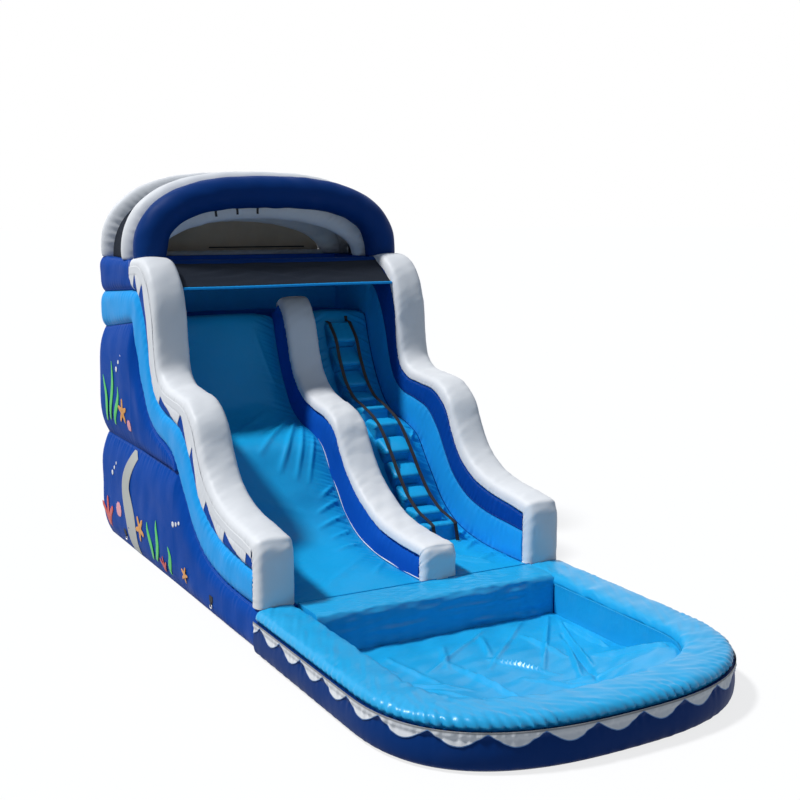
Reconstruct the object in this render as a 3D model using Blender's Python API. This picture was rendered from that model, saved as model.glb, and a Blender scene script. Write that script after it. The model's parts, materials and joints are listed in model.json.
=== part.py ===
"""Inflatable water slide with a splash pool, modelled as its sewn chambers.

A wide sliding lane and a narrow climbing lane run down from a hooded tower to a shallow pool.
Three waved walls stand beside the lanes. Units are metres and +Z is up. The slide faces -Y.
"""
import math

import bmesh
import bpy
import numpy as np

# Driving sizes of the slide body. Places along Y are measured from the front ends of the walls.
BODY_WIDTH = 3.70
WALL_WIDTH = 0.43
DIVIDER_WIDTH = 0.43
DIVIDER_CENTRE = 0.275
BODY_LENGTH = 5.26
TOWER_DEPTH = 1.36
REAR_WALL_DEPTH = 0.42
DECK_HEIGHT = 2.95
PARAPET_HEIGHT = 0.77
PANEL_SEAM_HEIGHT = 1.38
TOWER_BAND_HEIGHT = 0.92

# Driving sizes of the pool
RIM_HEIGHT = 0.475
RIM_WIDTH = 0.44
RIM_BULGE = 0.05
POOL_LENGTH = 3.42
POOL_STRAIGHT = 2.00
APRON_DEPTH = 0.46
APRON_ROLL = 0.08
POOL_FLOOR_THICKNESS = 0.05
RIM_POWER_SHARE = 2.6
LINER_FOOT_SHARE = 0.25
LINER_RAMP = 0.45
COVER_THICKNESS = 0.13
LANE_DROP = 0.02

# Thicknesses of the layers, and how far a seam is drawn in
CAP_THICKNESS = 0.16
MATTRESS_THICKNESS = 0.22
LANE_CROWN = 0.055
SEAM_PINCH = 0.055
SIDE_BULGE = 0.05
REAR_BULGE = 0.08
CAP_PINCH = 0.02
GAP = 0.0004
STEP_BACK = 0.0015

# The hood: three arched tubes on the tower, with netting
FRONT_ARCH_RISE = 1.045
FRONT_ARCH_INSET = 0.035
FRONT_ARCH_SETBACK = 0.04
FRONT_ARCH_WIDTH = 0.42
FRONT_ARCH_DEPTH = 0.41
WHITE_ARCH_RISE = 1.105
MIDDLE_ARCH_WIDTH = 0.47
MIDDLE_ARCH_CROWN = 0.61
MIDDLE_ARCH_DEPTH = 0.35
REAR_ARCH_WIDTH = 0.55
REAR_ARCH_CROWN = 0.66
REAR_ARCH_DEPTH = 0.27
OUTER_POWER_SHARE = 2.6
FRONT_POWER_SHARE = 2.9
INNER_POWER_SHARE = 2.1
NET_THICKNESS = 0.006
SILL_HEIGHT = 0.055
SILL_TUCK = 0.02
TIE_SHARES = (-0.52, -0.32, -0.12)
HOSE_TIE_WIDTH = 0.030
HOSE_TIE_LENGTH = 0.070
HOSE_TIE_THICKNESS = 0.004
HOSE_TIE_SEAT = 0.001
LANE_NET_SHARES = [(0.949, 1.0015), (0.8205, 0.906)]
HEM_RADIUS = 0.018

# The ladder up the climbing lane
STEP_COUNT = 11
STEP_WIDTH = 0.39
STEP_HIGH = 0.19
STEP_LOW = 0.08
STEP_CLEARANCE = 0.010
STEP_EDGE = 0.035
STEP_RAKE = 0.035
LADDER_START_SHARE = 0.245
LADDER_END_SHARE = 0.995
STRAP_WIDTH = 0.045
STRAP_THICKNESS = 0.005
STRAP_TUCK = 0.10

# Webbing anchors with their D rings
ANCHOR_HEIGHT = 0.20
ANCHOR_FRONT_Y = 1.25
ANCHOR_REAR_Y = 4.30
TAB_WIDTH = 0.10
TAB_LENGTH = 0.10
TAB_THICKNESS = 0.005
TAB_SEAT = 0.0010
RING_WIRE = 0.005
RING_BAR = 0.060
RING_CLEARANCE = 0.0008
LOOP_WALL = 0.004
LOOP_WIDTH = 0.032

# Rear fittings: the sleeve that takes the blower's nozzle, and the zip that lets the air out
SLEEVE_RADIUS = 0.15
SLEEVE_WALL = 0.006
SLEEVE_LENGTH = 0.50
SLEEVE_X = 0.80
TIE_WIDTH = 0.03
TIE_THICKNESS = 0.004
TIE_PLACE_SHARE = 0.72
ZIP_LENGTH = 0.60
ZIP_WIDTH = 0.045
ZIP_X = -0.75
ZIP_HEIGHT = 0.52
ZIP_TAPE_THICKNESS = 0.003
ZIP_CHAIN_WIDTH = 0.008
ZIP_CHAIN_HEIGHT = 0.005
SLIDER_LENGTH = 0.035
SLIDER_WIDTH = 0.024
SLIDER_WALL = 0.005
SLIDER_CLEARANCE = 0.0008

# Derived places
HALF_WIDTH = BODY_WIDTH / 2
INNER_X = HALF_WIDTH - WALL_WIDTH
DIVIDER_LEFT = DIVIDER_CENTRE - DIVIDER_WIDTH / 2
DIVIDER_RIGHT = DIVIDER_CENTRE + DIVIDER_WIDTH / 2
RUN = BODY_LENGTH - TOWER_DEPTH
REAR_WALL_Y = BODY_LENGTH - REAR_WALL_DEPTH
WALL_TOP = DECK_HEIGHT + PARAPET_HEIGHT
TOWER_LOW = WALL_TOP - TOWER_BAND_HEIGHT
LANE_FOOT = RIM_HEIGHT - LANE_DROP
POOL_HALF = INNER_X + RIM_WIDTH
CLIMB_CENTRE = (DIVIDER_RIGHT + INNER_X) / 2
FRONT_ARCH_Y = RUN - FRONT_ARCH_SETBACK
MIDDLE_ARCH_Y = FRONT_ARCH_Y + (FRONT_ARCH_DEPTH + MIDDLE_ARCH_DEPTH) / 2 + GAP
REAR_ARCH_Y = BODY_LENGTH - REAR_ARCH_DEPTH / 2
REAR_END = BODY_LENGTH + SLEEVE_LENGTH
FRONT_END = -POOL_LENGTH - RIM_BULGE

# Key points of the wave, rear to front, as shares of the run and of the height above the pool.
# The lane, the side walls and the divider have a key at the same stations, so the layers between
# them follow by blending.
LANE_SHARES = [(1.035, 1.000), (1.012, 0.985), (0.986, 0.872), (0.954, 0.756), (0.915, 0.652),
               (0.862, 0.555), (0.795, 0.496), (0.713, 0.467), (0.641, 0.419), (0.582, 0.314),
               (0.533, 0.227), (0.477, 0.134), (0.390, 0.054), (0.277, 0.013), (0.141, 0.000),
               (0.000, 0.000)]
WALL_SHARES = [(1.000, 1.012), (0.897, 1.012), (0.822, 0.952), (0.780, 0.846), (0.766, 0.726),
               (0.744, 0.626), (0.692, 0.580), (0.612, 0.567), (0.522, 0.552), (0.452, 0.496),
               (0.411, 0.410), (0.360, 0.327), (0.284, 0.268), (0.190, 0.238), (0.097, 0.225),
               (0.026, 0.212)]
DIVIDER_SHARES = [(0.995, 1.085), (0.957, 1.112), (0.920, 1.060), (0.891, 0.962), (0.868, 0.850),
                  (0.834, 0.750), (0.774, 0.674), (0.695, 0.635), (0.618, 0.613), (0.551, 0.561),
                  (0.510, 0.468), (0.458, 0.367), (0.382, 0.275), (0.267, 0.194), (0.141, 0.166),
                  (0.026, 0.158)]
BAND_SPLIT_SHARE = 0.5
TOWER_MIDDLE = TOWER_LOW + TOWER_BAND_HEIGHT * BAND_SPLIT_SHARE
CAP_FRONT_SHARES = [(0.16, 0.88, 0.85), (0.0, 0.68, 0.62), (0.0, 0.30, 0.28)]
NOSE_SHARES = [(0.16, 0.62), (0.05, 0.93)]
SAMPLES_PER_KEY = 2
BARREL_ROW_SHARES = (0, 0.07, 0.25, 0.5, 0.75, 0.93, 1)
CAP_SECTION_SHARES = [(1, 0.20), (1, 0.62), (0.955, 0.82), (0.83, 0.94), (0.45, 0.99), (0, 1)]
DIVIDER_CAP_SHARE = 0.85
LANE_ROW_SHARES = (-1, -0.93, -0.75, -0.4, 0, 0.4, 0.75, 0.93, 1)
DECK_ROW_SHARES = (-1, -0.97, -0.88, -0.5, 0, 0.5, 0.88, 0.97, 1)
LINER_ROW_SHARES = (-1, -0.93, -0.8, -0.6, -0.3, 0, 0.3, 0.6, 0.8, 0.93, 1)
CORNER_SHARES = [(0.0, 1.0), (0.5, 0.35), (2.0, 0.0)]
SHARP_ANGLE = math.radians(35)


def clear_scene():
    """Removes every object, so the file can be run again."""
    for old in list(bpy.data.objects):
        bpy.data.objects.remove(old)


def material(name, colour, roughness, metallic=0.0):
    """A Principled material of one colour."""
    made = bpy.data.materials.new(name)
    made.use_nodes = True
    shader = made.node_tree.nodes["Principled BSDF"]
    shader.inputs["Base Color"].default_value = (*colour, 1.0)
    shader.inputs["Roughness"].default_value = roughness
    shader.inputs["Metallic"].default_value = metallic
    made.diffuse_color = (*colour, 1.0)
    return made


clear_scene()
WHITE = material("white_vinyl", (0.80, 0.82, 0.84), 0.45)
NAVY = material("navy_vinyl", (0.010, 0.045, 0.250), 0.40)
ROYAL = material("royal_vinyl", (0.012, 0.080, 0.360), 0.40)
SKY = material("sky_vinyl", (0.050, 0.330, 0.760), 0.38)
CYAN = material("cyan_vinyl", (0.020, 0.400, 0.750), 0.30)
BLACK = material("black_webbing", (0.012, 0.012, 0.014), 0.75)
NETTING = material("dark_netting", (0.030, 0.028, 0.026), 0.85)
STEEL = material("plated_steel", (0.62, 0.62, 0.64), 0.30, 1.0)

FRAME = bpy.data.objects.new("slide_frame", None)
FRAME.location = (0, -(REAR_END + FRONT_END) / 2, 0)
bpy.context.scene.collection.objects.link(FRAME)


def new_object(name, mesh, finish, parent=FRAME):
    """Links a mesh as a named object of one material, with its faces pointing out."""
    shell = bmesh.new()
    shell.from_mesh(mesh)
    bmesh.ops.recalc_face_normals(shell, faces=shell.faces)
    shell.to_mesh(mesh)
    shell.free()
    mesh.materials.append(finish)
    mesh.shade_smooth()
    mesh.set_sharp_from_angle(angle=SHARP_ANGLE)
    made = bpy.data.objects.new(name, mesh)
    bpy.context.scene.collection.objects.link(made)
    made.parent = parent
    return made


def loft(name, rings, finish, closed=False, parent=FRAME):
    """A solid through rings of equal length, capped at both ends unless the rings close on themselves."""
    rings = np.asarray(rings, float)
    count, around = rings.shape[:2]
    faces = []
    for i in range(count if closed else count - 1):
        here, there = i * around, (i + 1) % count * around
        for j in range(around):
            k = (j + 1) % around
            faces.append((here + j, here + k, there + k))
            faces.append((here + j, there + k, there + j))
    if not closed:
        faces.append(tuple(range(around)))
        faces.append(tuple(range((count - 1) * around, count * around)))
    mesh = bpy.data.meshes.new(name)
    mesh.from_pydata(rings.reshape(-1, 3).tolist(), [], faces)
    return new_object(name, mesh, finish, parent)


def prism(name, outline, low_x, high_x, finish):
    """An outline in the Y-Z plane, extruded across X."""
    rings = [[(x, y, z) for y, z in outline] for x in (low_x, high_x)]
    return loft(name, rings, finish)


def boolean(target, tool, kind):
    """Joins or cuts one object with another, and hides the tool."""
    modifier = target.modifiers.new(kind.lower(), "BOOLEAN")
    modifier.operation = kind
    modifier.object = tool
    tool.hide_render = True
    tool.display_type = "WIRE"


def smooth(keys, per_key=SAMPLES_PER_KEY):
    """Points on the Catmull-Rom curve through the keys, the same number between each two keys."""
    keys = np.asarray(keys, float)
    padded = np.vstack([2 * keys[0] - keys[1], keys, 2 * keys[-1] - keys[-2]])
    points = []
    for i in range(1, len(padded) - 2):
        a, b, c, d = padded[i - 1:i + 3]
        for t in np.linspace(0, 1, per_key, endpoint=False):
            points.append(0.5 * (2 * b + (c - a) * t + (2 * a - 5 * b + 4 * c - d) * t ** 2
                                 + (3 * b - a - 3 * c + d) * t ** 3))
    return np.array(points + [keys[-1]])


def scaled(shares, height, foot):
    """Turns shares of the run and of the height above foot into points (y, z)."""
    return [(RUN * y, foot + (height - foot) * z) for y, z in shares]


def unit(vectors):
    """Each row at length one."""
    return vectors / np.linalg.norm(vectors, axis=1, keepdims=True)


LANE = smooth(scaled(LANE_SHARES, DECK_HEIGHT, LANE_FOOT))
WALL = smooth(scaled(WALL_SHARES, WALL_TOP, RIM_HEIGHT))
RIDGE = smooth(scaled(DIVIDER_SHARES, DECK_HEIGHT, LANE_FOOT))
STACK = unit(WALL - LANE)
STACK[-1] = (0, 1)
LANE[-1, 0] = 0
BED = LANE - MATTRESS_THICKNESS * STACK
BED[-1, 0] = 0


def barrel_ring(low, high, x_seam, x_face, inset=0.0):
    """A closed section between two points of the side view. Each flank bulges between its seams.

    x_seam and x_face are (one flank, other flank): where the seams lie and where the bulge reaches.
    """
    low, high = np.asarray(low, float), np.asarray(high, float)
    ring = []
    for flank, order in ((0, BARREL_ROW_SHARES), (1, BARREL_ROW_SHARES[::-1])):
        for v in order:
            bulge = 1 - abs(2 * v - 1) ** 4
            x = x_seam[flank] + (x_face[flank] - x_seam[flank]) * bulge
            x -= math.copysign(inset, x_face[flank] - (x_face[0] + x_face[1]) / 2)
            y, z = low + v * (high - low)
            ring.append((x, y, z))
    return ring


def flanks(outer_x, inner_x, pinch):
    """The seam and face places of a wall whose two flanks are drawn in by pinch at the seams."""
    side = math.copysign(1, outer_x - inner_x)
    return (outer_x - side * pinch, inner_x + side * pinch), (outer_x, inner_x)


def cap_ring(low, high, outer_x, inner_x, inset=0.0, shrink=1.0):
    """The section of a wall's top: straight flanks, rounded shoulders and a gently crowned top."""
    low, high = np.asarray(low, float), np.asarray(high, float)
    middle, half = (outer_x + inner_x) / 2, (outer_x - inner_x) / 2
    seam_share = 1 - CAP_PINCH / abs(half)
    profile = [(seam_share, 0)] + CAP_SECTION_SHARES
    full = profile + [(-a, v) for a, v in profile[-2::-1]]
    ring = []
    for a, v in full:
        y, z = low + v * shrink * (high - low)
        ring.append((middle + a * (half - math.copysign(inset, half)), y, z))
    return ring


def front_of_cap(top_point, thickness, foot):
    """Stations (inner, outer) that carry a wall's cap down its front end to the height of its foot."""
    height = top_point[1]
    rise = height - LANE_FOOT
    under = height - thickness - LANE_FOOT
    outer = [(top_point[0], height)]
    inner = [(thickness, LANE_FOOT + under)]
    for back_share, outer_share, inner_share in CAP_FRONT_SHARES:
        outer.append((thickness * back_share, LANE_FOOT + rise * outer_share))
        inner.append((thickness, LANE_FOOT + under * inner_share))
    outer.append((0.0, foot + GAP))
    inner.append((thickness, foot + GAP))
    return inner, outer


def wall_cap(name, crest, outer_x, inner_x, thickness, foot=LANE_FOOT, nose=False):
    """The white strip on a wall, from the tower down the wave and down the wall's front end."""
    under = crest - thickness * unit(crest - LANE)
    inner, outer = front_of_cap(crest[-1], thickness, foot)
    rings = []
    for i in range(len(crest) - 1):
        inset, shrink = NOSE_SHARES[i] if nose and i < len(NOSE_SHARES) else (0.0, 1.0)
        rings.append(cap_ring(under[i], crest[i], outer_x, inner_x, inset * abs(outer_x - inner_x), shrink))
    for low, high in zip(inner, outer):
        rings.append(cap_ring(low, high, outer_x, inner_x))
    return loft(name, rings, WHITE)


def band(name, lower, upper, outer_x, inner_x, finish, insets=None):
    """One inflated layer of a wall, between two curves of the family."""
    seam, face = flanks(outer_x, inner_x, SEAM_PINCH)
    insets = insets if insets is not None else [0.0] * len(lower)
    rings = [barrel_ring(a, b, seam, face, inset=c) for a, b, c in zip(lower, upper, insets)]
    return loft(name, rings, finish)


def rear_corner():
    """Places along Y, with their insets, that round the tower's upright rear corner."""
    return [(BODY_LENGTH - SEAM_PINCH * back, SEAM_PINCH * share) for back, share in CORNER_SHARES]


def side_walls():
    """Cap, navy band and sky band of the left and right walls. The bands run on round the tower."""
    split = LANE + BAND_SPLIT_SHARE * (WALL - LANE)
    under_cap = WALL - (CAP_THICKNESS + GAP) * STACK
    stop_y = CAP_THICKNESS + GAP
    cap_inner = front_of_cap(WALL[-1], CAP_THICKNESS, LANE_FOOT)[0][0]
    front_split = LANE_FOOT + BAND_SPLIT_SHARE * (WALL[-1, 1] - LANE_FOOT)
    keep = LANE[:, 0] > stop_y + 2 * CAP_THICKNESS
    for side, sign in (("left", -1), ("right", 1)):
        outer_x, inner_x = sign * HALF_WIDTH, sign * INNER_X
        wall_cap(side + "_wall_cap", WALL, outer_x, inner_x, CAP_THICKNESS)
        low, high, inset = [], [], []
        for y, drawn_in in rear_corner():
            low.append((y, TOWER_MIDDLE + GAP))
            high.append((y, WALL_TOP))
            inset.append(drawn_in)
        low.append(split[0] + (STEP_BACK, GAP))
        reach = (WALL_TOP - split[0][1]) / (WALL[0][1] - split[0][1])
        high.append(split[0] + reach * (WALL[0] - split[0]) + (STEP_BACK, 0))
        low.append(split[0] + (GAP, GAP))
        high.append(under_cap[0] + (GAP, 0))
        inset += [0, 0]
        for m, c in zip(split[keep][1:], under_cap[keep][1:]):
            low.append(m + (0, GAP))
            high.append(c)
            inset.append(0)
        low.append((stop_y, front_split + GAP))
        high.append((stop_y, cap_inner[1] - 2 * GAP))
        inset.append(0)
        band(side + "_wall_navy_band", low, high, outer_x, inner_x, NAVY, inset)
        low, high, inset = [], [], []
        for y, drawn_in in rear_corner():
            low.append((y, TOWER_LOW + GAP))
            high.append((y, TOWER_MIDDLE - GAP))
            inset.append(drawn_in)
        for a, m in zip(LANE[keep], split[keep]):
            low.append(a + (0, GAP))
            high.append(m - (0, GAP))
            inset.append(0)
        low.append((stop_y, LANE_FOOT + GAP))
        high.append((stop_y, front_split - GAP))
        inset.append(0)
        band(side + "_wall_sky_band", low, high, outer_x, inner_x, SKY, inset)


def side_panels():
    """The two big navy panels on each flank, below the sky band, with the level seam between them."""
    above = LANE[LANE[:, 1] > PANEL_SEAM_HEIGHT + SEAM_PINCH]
    crossing = np.interp(PANEL_SEAM_HEIGHT, LANE[::-1, 1], LANE[::-1, 0])
    below = LANE[LANE[:, 1] < PANEL_SEAM_HEIGHT - SEAM_PINCH]
    crossing_top = PANEL_SEAM_HEIGHT - GAP
    for side, sign in (("left", -1), ("right", 1)):
        inner_x = sign * INNER_X
        seam = (sign * (HALF_WIDTH - SEAM_PINCH), inner_x)

        def ring(y, low, high, inset=0.0):
            face = (sign * (HALF_WIDTH + panel_bulge(high - low)), inner_x)
            return barrel_ring((y, low), (y, high), seam, face, inset=inset)

        rings = [ring(y, PANEL_SEAM_HEIGHT + GAP, TOWER_LOW - GAP, a) for y, a in rear_corner()]
        rings += [ring(y, PANEL_SEAM_HEIGHT + GAP, z - GAP) for y, z in above]
        loft(side + "_upper_panel", rings, NAVY)
        rings = [ring(y, 0, crossing_top, a) for y, a in rear_corner()]
        rings.append(ring(crossing, 0, crossing_top))
        rings += [ring(y, 0, z - GAP) for y, z in below]
        loft(side + "_lower_panel", rings, NAVY)


def panel_bulge(height):
    """How far a tall panel swells past the wall's face: a short one swells less."""
    return SIDE_BULGE * min(1.0, height / PANEL_SEAM_HEIGHT)


def mattress_rings(low_x, high_x, lift=0.0):
    """Sections across a lane: a flat underside and a crowned top. lift raises the top, for a cutter."""
    middle, half = (low_x + high_x) / 2, (high_x - low_x) / 2
    across = np.array(LANE_ROW_SHARES)
    crown = LANE_CROWN * (1 - np.abs(across) ** 4)
    rings = []
    for top, bottom, up in zip(LANE, BED, STACK):
        ring = [(middle + half * a, *(top + up * (c + lift))) for a, c in zip(across, crown)]
        ring += [(high_x, *bottom), (low_x, *bottom)]
        rings.append(ring)
    return rings


def lanes():
    """The two cyan lane mattresses, on the core that fills the slope."""
    loft("slide_mattress", mattress_rings(-INNER_X + GAP, DIVIDER_LEFT - GAP), CYAN)
    loft("climb_mattress", mattress_rings(DIVIDER_RIGHT + GAP, INNER_X - GAP), CYAN)
    top = BED - GAP * STACK
    top[-1, 0] = 0
    outline = [(0, 0)] + [tuple(p) for p in top[::-1]]
    outline += [(REAR_WALL_Y - GAP, top[0, 1]), (REAR_WALL_Y - GAP, 0)]
    prism("slope_core", outline, -INNER_X + GAP, INNER_X - GAP, NAVY)


def divider():
    """The waved wall between the lanes: a royal blue body under a white cap."""
    thickness = CAP_THICKNESS * DIVIDER_CAP_SHARE
    under = RIDGE - (thickness + GAP) * unit(RIDGE - LANE)
    stop_y = thickness + GAP
    seam, face = flanks(DIVIDER_RIGHT, DIVIDER_LEFT, SEAM_PINCH)
    keep = LANE[:, 0] > stop_y + 2 * thickness
    rings = [barrel_ring(a, b, seam, face) for a, b in zip(BED[keep], under[keep])]
    inner_top = front_of_cap(RIDGE[-1], thickness, LANE_FOOT)[0][0][1]
    rings.append(barrel_ring((stop_y, BED[-1, 1]), (stop_y, inner_top - 2 * GAP), seam, face))
    loft("divider_body", rings, ROYAL)
    wall_cap("divider_cap", RIDGE, DIVIDER_RIGHT, DIVIDER_LEFT, thickness, foot=BED[-1, 1], nose=True)


def rear_bulge(share, height):
    """Where a rear panel's face stands, at a share of its height."""
    swell = REAR_BULGE * min(1.0, (height / PANEL_SEAM_HEIGHT) ** 2)
    return BODY_LENGTH - SEAM_PINCH + (SEAM_PINCH + swell) * (1 - np.abs(2 * share - 1) ** 4)


def tower():
    """The platform deck and the rear wall, built of the same four levels as the flanks."""
    deck_low = BED[0, 1]
    deck_front = BED[0, 0] + GAP
    half = INNER_X - GAP
    across = np.array(DECK_ROW_SHARES)
    crown = LANE_CROWN * (np.abs(across) < 1)
    rings = []
    for y, share in ((deck_front, 0.0), (deck_front + LANE_CROWN, 0.8), (REAR_WALL_Y - LANE_CROWN, 0.8),
                     (REAR_WALL_Y - GAP, 0.0)):
        ring = [(half * a, y, DECK_HEIGHT + share * c) for a, c in zip(across, crown)]
        rings.append(ring + [(half, y, deck_low), (-half, y, deck_low)])
    loft("platform_deck", rings, ROYAL)
    levels = (("rear_lower_panel", 0, PANEL_SEAM_HEIGHT - GAP, NAVY),
              ("rear_upper_panel", PANEL_SEAM_HEIGHT + GAP, TOWER_LOW - GAP, NAVY),
              ("rear_sky_band", TOWER_LOW + GAP, TOWER_MIDDLE - GAP, SKY),
              ("rear_navy_band", TOWER_MIDDLE + GAP, WALL_TOP, NAVY))
    for name, low, high, finish in levels:
        rings = []
        for x in (-half, half):
            outside = [(x, rear_bulge(v, high - low), low + v * (high - low)) for v in BARREL_ROW_SHARES]
            rings.append(outside + [(x, REAR_WALL_Y, high), (x, REAR_WALL_Y, low)])
        loft(name, rings, finish)


def arch_curve(half, rise, power, count=20):
    """Points (x, z) of an arch on the walls' top, from its left foot to its right foot, evenly spaced."""
    turns = np.linspace(math.pi, 0, 40 * count)
    fine = np.column_stack([half * np.sign(np.cos(turns)) * np.abs(np.cos(turns)) ** (2 / power),
                            WALL_TOP + rise * np.abs(np.sin(turns)) ** (2 / power)])
    run = lengths_along(fine)
    points = np.array([at(fine, share * run[-1]) for share in np.linspace(0, 1, count)])
    points[[0, -1], 1] = WALL_TOP + GAP
    return points


class Arch:
    """An arched tube that stands on the walls, given by its outer and inner curve and its depth."""

    def __init__(self, y, outer, inner, depth):
        self.y, self.depth = y, depth
        self.outer, self.inner = arch_curve(*outer), arch_curve(*inner)

    def tube(self, name, finish, grow=0.0):
        """The solid: an oval section stands between each outer point and its inner one."""
        turns = np.linspace(0, 2 * math.pi, 12, endpoint=False)
        rings = []
        for outer, inner in zip(self.outer, self.inner):
            middle, reach = (outer + inner) / 2, (outer - inner) / 2
            reach = reach * (1 + grow / np.linalg.norm(reach))
            x, z = (middle[:, None] + reach[:, None] * np.cos(turns))
            rings.append(list(zip(x, self.y + (self.depth / 2 + grow) * np.sin(turns), z)))
        return loft(name, rings, finish)

    def net_edge(self, side):
        """The line on the tube, a quarter in from its outer curve, where the shade net is sewn."""
        y = self.y + side * (self.depth / 2 * math.sin(math.pi / 3) + GAP)
        return [(x, y, z) for x, z in self.inner + 0.75 * (self.outer - self.inner)]


def hood_arches():
    """The front, middle and rear arch."""
    front_half = HALF_WIDTH - FRONT_ARCH_INSET
    front = Arch(FRONT_ARCH_Y, (front_half, FRONT_ARCH_RISE, OUTER_POWER_SHARE),
                 (front_half - FRONT_ARCH_WIDTH, FRONT_ARCH_RISE - FRONT_ARCH_DEPTH, FRONT_POWER_SHARE),
                 FRONT_ARCH_DEPTH)
    outer = (HALF_WIDTH, WHITE_ARCH_RISE, OUTER_POWER_SHARE)
    middle = Arch(MIDDLE_ARCH_Y, outer,
                  (HALF_WIDTH - MIDDLE_ARCH_WIDTH, WHITE_ARCH_RISE - MIDDLE_ARCH_CROWN, INNER_POWER_SHARE),
                  MIDDLE_ARCH_DEPTH)
    rear = Arch(REAR_ARCH_Y, outer,
                (HALF_WIDTH - REAR_ARCH_WIDTH, WHITE_ARCH_RISE - REAR_ARCH_CROWN, INNER_POWER_SHARE),
                REAR_ARCH_DEPTH)
    return front, middle, rear


def hood():
    """Three arches, the shade net between the two white ones, the rear window and the lane's net."""
    front, middle, rear = hood_arches()
    tube = front.tube("front_arch", NAVY)
    crest = WALL + (0, GAP)
    crest[0, 0] += 2 * GAP
    for side, sign in (("left", -1), ("right", 1)):
        seat = wall_cap(side + "_arch_seat", crest, sign * (HALF_WIDTH + GAP), sign * (INNER_X - GAP),
                        CAP_THICKNESS)
        boolean(tube, seat, "DIFFERENCE")
    middle.tube("middle_arch", WHITE)
    rear.tube("rear_arch", WHITE)
    low, high = middle.net_edge(1), rear.net_edge(-1)
    thick = np.array((0, 0, NET_THICKNESS))
    rings = [[np.array(a) + thick, np.array(b) + thick, b, a] for a, b in zip(low, high)]
    loft("hood_shade_net", rings, NETTING)
    rear_window(rear)
    for i, share in enumerate(TIE_SHARES):
        hose_tie(f"hose_tie_{i + 1:02d}", share, front)
    lane_net()


def rear_window(arch):
    """The padded sill between the rear arch's feet, and the net that fills the opening above it."""
    turns = np.linspace(0, math.pi, 7)
    reach = arch.depth / 2 * 0.92
    outline = [(arch.y + reach * math.cos(t), WALL_TOP + GAP + SILL_HEIGHT * math.sin(t) ** 0.7)
               for t in turns]
    end = arch.inner[-1, 0] + SILL_TUCK
    sill = loft("rear_sill", [[(x, *p) for p in outline] for x in (-end, end)], WHITE)
    boolean(sill, arch.tube("sill_seat", WHITE, grow=GAP), "DIFFERENCE")
    sill_top = WALL_TOP + SILL_HEIGHT + 2 * GAP
    middle = arch.inner.mean(axis=0) * (0, 1)
    inward = unit(middle - arch.inner)
    edge = arch.inner + inward * 3 * GAP
    above = edge[edge[:, 1] > sill_top + SILL_HEIGHT / 2]
    foot_x = np.interp(sill_top, edge[:len(edge) // 2, 1], edge[:len(edge) // 2, 0])
    outline = [(foot_x, sill_top), *above, (-foot_x, sill_top)]
    half = NET_THICKNESS / 2
    loft("rear_window_net", [[(x, arch.y + d, z) for x, z in outline] for d in (-half, half)], NETTING)


def hose_tie(name, share, arch):
    """A short webbing tie sewn under the front arch, which holds a water hose."""
    x = INNER_X * share
    z = np.interp(x, arch.inner[:, 0], arch.inner[:, 1])
    k = np.searchsorted(arch.inner[:, 0], x)
    along = unit(np.diff(arch.inner[k - 1:k + 1], axis=0))[0]
    down = np.array([along[1], -along[0]])
    half_x, half_y = HOSE_TIE_WIDTH / 2, HOSE_TIE_THICKNESS / 2
    rings = []
    for depth in (HOSE_TIE_SEAT, HOSE_TIE_SEAT + HOSE_TIE_LENGTH):
        middle = (x, z) + depth * down
        rings.append([(middle[0] + a * half_x * along[0], arch.y + b * half_y,
                       middle[1] + a * half_x * along[1]) for a, b in ((-1, -1), (1, -1), (1, 1), (-1, 1))])
    loft(name, rings, BLACK)


def lane_net():
    """The net that slopes down between the walls over the top of the lanes, with a sky blue hem."""
    half_x = INNER_X - GAP
    top, foot = np.array(scaled(LANE_NET_SHARES, WALL_TOP, RIM_HEIGHT))
    down = (foot - top) / np.linalg.norm(foot - top)
    aside = np.array([-down[1], down[0]]) * NET_THICKNESS / 2
    edge = foot - down * (HEM_RADIUS + GAP)
    outline = [top - aside, edge - aside, edge + aside, top + aside]
    loft("lane_net", [[(x, *p) for p in outline] for x in (-half_x, half_x)], NETTING)
    turns = np.linspace(0, 2 * math.pi, 10, endpoint=False)
    outline = [foot + HEM_RADIUS * np.array([math.cos(t), math.sin(t)]) for t in turns]
    loft("lane_net_hem", [[(x, *p) for p in outline] for x in (-half_x, half_x)], SKY)


def lengths_along(curve):
    """The distance of each point of a polyline from its start, along the line."""
    return np.concatenate([[0], np.cumsum(np.linalg.norm(np.diff(curve, axis=0), axis=1))])


def at(curve, distance):
    """The point of a polyline at a distance from its start."""
    lengths = lengths_along(curve)
    return np.array([np.interp(distance, lengths, curve[:, k]) for k in (0, 1)])


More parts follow.
